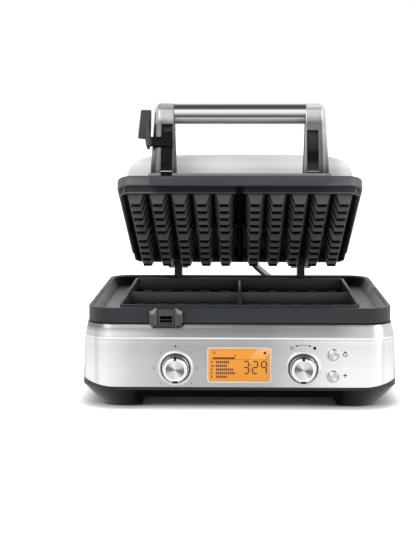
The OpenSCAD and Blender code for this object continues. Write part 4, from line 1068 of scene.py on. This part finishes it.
def make_conduit():
    """Interlocked armour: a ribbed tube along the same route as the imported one."""
    gland_y, gland_z, housing_y = 162.4, 137.8, 212.8
    start = ((12, 10, 0), (12, 14, 0), (13.5, 19, -0.5))
    stops = [lid_place(x, gland_y + y, gland_z + z) for x, y, z in start]
    stops += [(x, housing_y + y, z) for x, y, z in (
        (19, -24, 143), (26, -18, 135), (34, -12, 127), (42, -7, 120), (48, -3, 113), (52, -1, 108),
        (54, 0, 103), (54, 0, 101),
    )]
    route = [Vector(p) for p in curve_through(stops, 14)]
    pitch, radius, groove, steps = 3.2, 4.98, 0.75, 28
    turns = [2 * math.pi * k / steps for k in range(steps)]
    rings, travelled = [], 0.0
    for i, p in enumerate(route):
        way = (route[min(i + 1, len(route) - 1)] - route[max(i - 1, 0)]).normalized()
        across = way.cross(Vector((1, 0, 0))).normalized()
        up = across.cross(way)
        if i:
            travelled += (p - route[i - 1]).length
        phase = travelled / pitch % 1
        r = radius - groove * (1 - min(1.0, min(phase, 1 - phase) * 4)) ** 1.5
        rings.append([tuple(p + r * (math.cos(a) * across + math.sin(a) * up)) for a in turns])
    obj = piece("armour", loft(rings, (True, True)), "conduit_metal", "base", sharp=60, ride=False)
    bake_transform(obj)
    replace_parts(obj, "conduit")


# ---------------------------------------------------------------- the pieces, in order

make_skin()
make_ring()
make_cover()
make_arm("arm_left", -1, "handle_arm_left")
make_arm("arm_right", 1, "handle_arm_right")
make_lining("lining_left", -1)
make_lining("lining_right", 1)
make_lips()
make_wrap()
make_catch()
make_dial("dial_menu", -DIAL_X, "menu_dial", "menu_knob")
make_dial("dial_browning", DIAL_X, "browning_dial", "browning_knob")
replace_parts(make_notch("mark_menu", -DIAL_X, "menu_knob", 0, 3.2, 12.0), "menu_pointer")
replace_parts(make_notch("mark_browning", DIAL_X, "browning_knob", 0, 3.2, 12.0), "browning_pointer")
# Dark inlays at the dials' feet: painted shade.
make_notch("foot_shade_menu", -DIAL_X, "menu_knob", 180, 6.4, 14.0)
make_notch("foot_shade_browning", DIAL_X, "browning_knob", 180, 6.4, 14.0)
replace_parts(make_collar("collar_left", -DIAL_X), "dial_collars")
make_collar("collar_right", DIAL_X)
make_button("button_high", "restart_button", "restart_key")
make_button("button_low", "more_button", "more_key")
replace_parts(make_button_ring("button_ring_high", BUTTON_Z["button_high"]), "button_collars")
make_button_ring("button_ring_low", BUTTON_Z["button_low"])
make_display()
make_marks()
make_conduit()


# ---------------------------------------------------------------- stage, light and camera


def make_floor():
    """Pale floor: white in the open, with a painted shadow where the object stands over it, dim for bounced
    light.
    """
    bpy.ops.mesh.primitive_plane_add(size=40, location=(0, 8, 0))
    floor = bpy.context.object
    floor.name = "floor"
    s = Shader("floor", grey(1.0), 0.9, edge=0, Specular_IOR_Level=0.0, Emission_Color=(1, 1, 1, 1))
    open_sky = s.node("AmbientOcclusion")
    open_sky.samples = 16
    open_sky.inputs["Distance"].default_value = 0.035
    rays = s.node("LightPath").outputs
    # Painted shadow: the floor's glow for the camera dims where the object stands close over it.
    clear = s.math("MINIMUM", s.product(s.math("POWER", open_sky.outputs["AO"], 2.4), 1.6), 1.1)
    seen = s.product(rays["Is Camera Ray"], clear)
    mirrored = s.product(rays["Is Glossy Ray"], 0.74)
    bounced = s.product(rays["Is Diffuse Ray"], 0.35)
    s.drive("Emission Strength", s.math("ADD", s.math("ADD", seen, mirrored), bounced))
    s.drive("Base Color", s.math("ADD", s.product(rays["Is Camera Ray"], 0.2), 0.3))
    floor.data.materials.append(s.mat)


def make_world():
    """White behind the object; for light and reflections a plain studio: bright ahead, dim overhead."""
    world = bpy.data.worlds.new("world")
    bpy.context.scene.world = world
    world.use_nodes = True
    tree = world.node_tree
    background = tree.nodes["Background"]
    coords = tree.nodes.new("ShaderNodeTexCoord")
    split = tree.nodes.new("ShaderNodeSeparateXYZ")
    tree.links.new(coords.outputs["Generated"], split.inputs[0])
    ramp = tree.nodes.new("ShaderNodeValToRGB")
    stops = ((0.0, 0.5), (0.44, 0.6), (0.5, 0.95), (0.6, 0.95), (0.85, 0.95), (0.9, 0.2), (1.0, 0.15))
    set_stops(ramp, [(place, grey(value)) for place, value in stops])
    half = tree.nodes.new("ShaderNodeMapRange")
    half.inputs["From Min"].default_value = -1.0
    tree.links.new(split.outputs["Z"], half.inputs["Value"])
    tree.links.new(half.outputs["Result"], ramp.inputs["Fac"])
    path = tree.nodes.new("ShaderNodeLightPath")
    show = tree.nodes.new("ShaderNodeMix")
    show.data_type = "RGBA"
    show.inputs[7].default_value = (1, 1, 1, 1)
    tree.links.new(path.outputs["Is Camera Ray"], show.inputs[0])
    tree.links.new(ramp.outputs["Color"], show.inputs[6])
    tree.links.new(show.outputs[2], background.inputs["Color"])
    background.inputs["Strength"].default_value = 1.0


def area_light(name, place, target, size, power):
    data = bpy.data.lights.new(name, "AREA")
    data.shape = "RECTANGLE"
    data.size, data.size_y = size
    data.energy = power
    lamp = bpy.data.objects.new(name, data)
    bpy.context.scene.collection.objects.link(lamp)
    lamp.location = place
    lamp.rotation_euler = (Vector(target) - Vector(place)).to_track_quat("-Z", "Y").to_euler()


def make_lights():
    area_light("key", (-0.9, -1.6, 1.5), (0, 0, 0.15), (1.2, 1.0), 16)
    area_light("right", (1.5, -1.0, 0.7), (0.1, 0, 0.12), (0.5, 1.2), 9)


def make_camera():
    """Long lens, level with the handle, looking a little down and to the left of the object."""
    data = bpy.data.cameras.new("camera")
    data.sensor_fit = "AUTO"
    data.sensor_width = 36.0
    data.lens = 97.86
    data.clip_end = 60
    camera = bpy.data.objects.new("camera", data)
    bpy.context.scene.collection.objects.link(camera)
    camera.location = (0, -1.9697, 0.360)
    camera.rotation_euler = (math.radians(90 - 6.04), 0, math.radians(1.246))
    bpy.context.scene.camera = camera


make_floor()
make_world()
make_lights()
make_camera()
bpy.context.scene.view_settings.view_transform = "Standard"
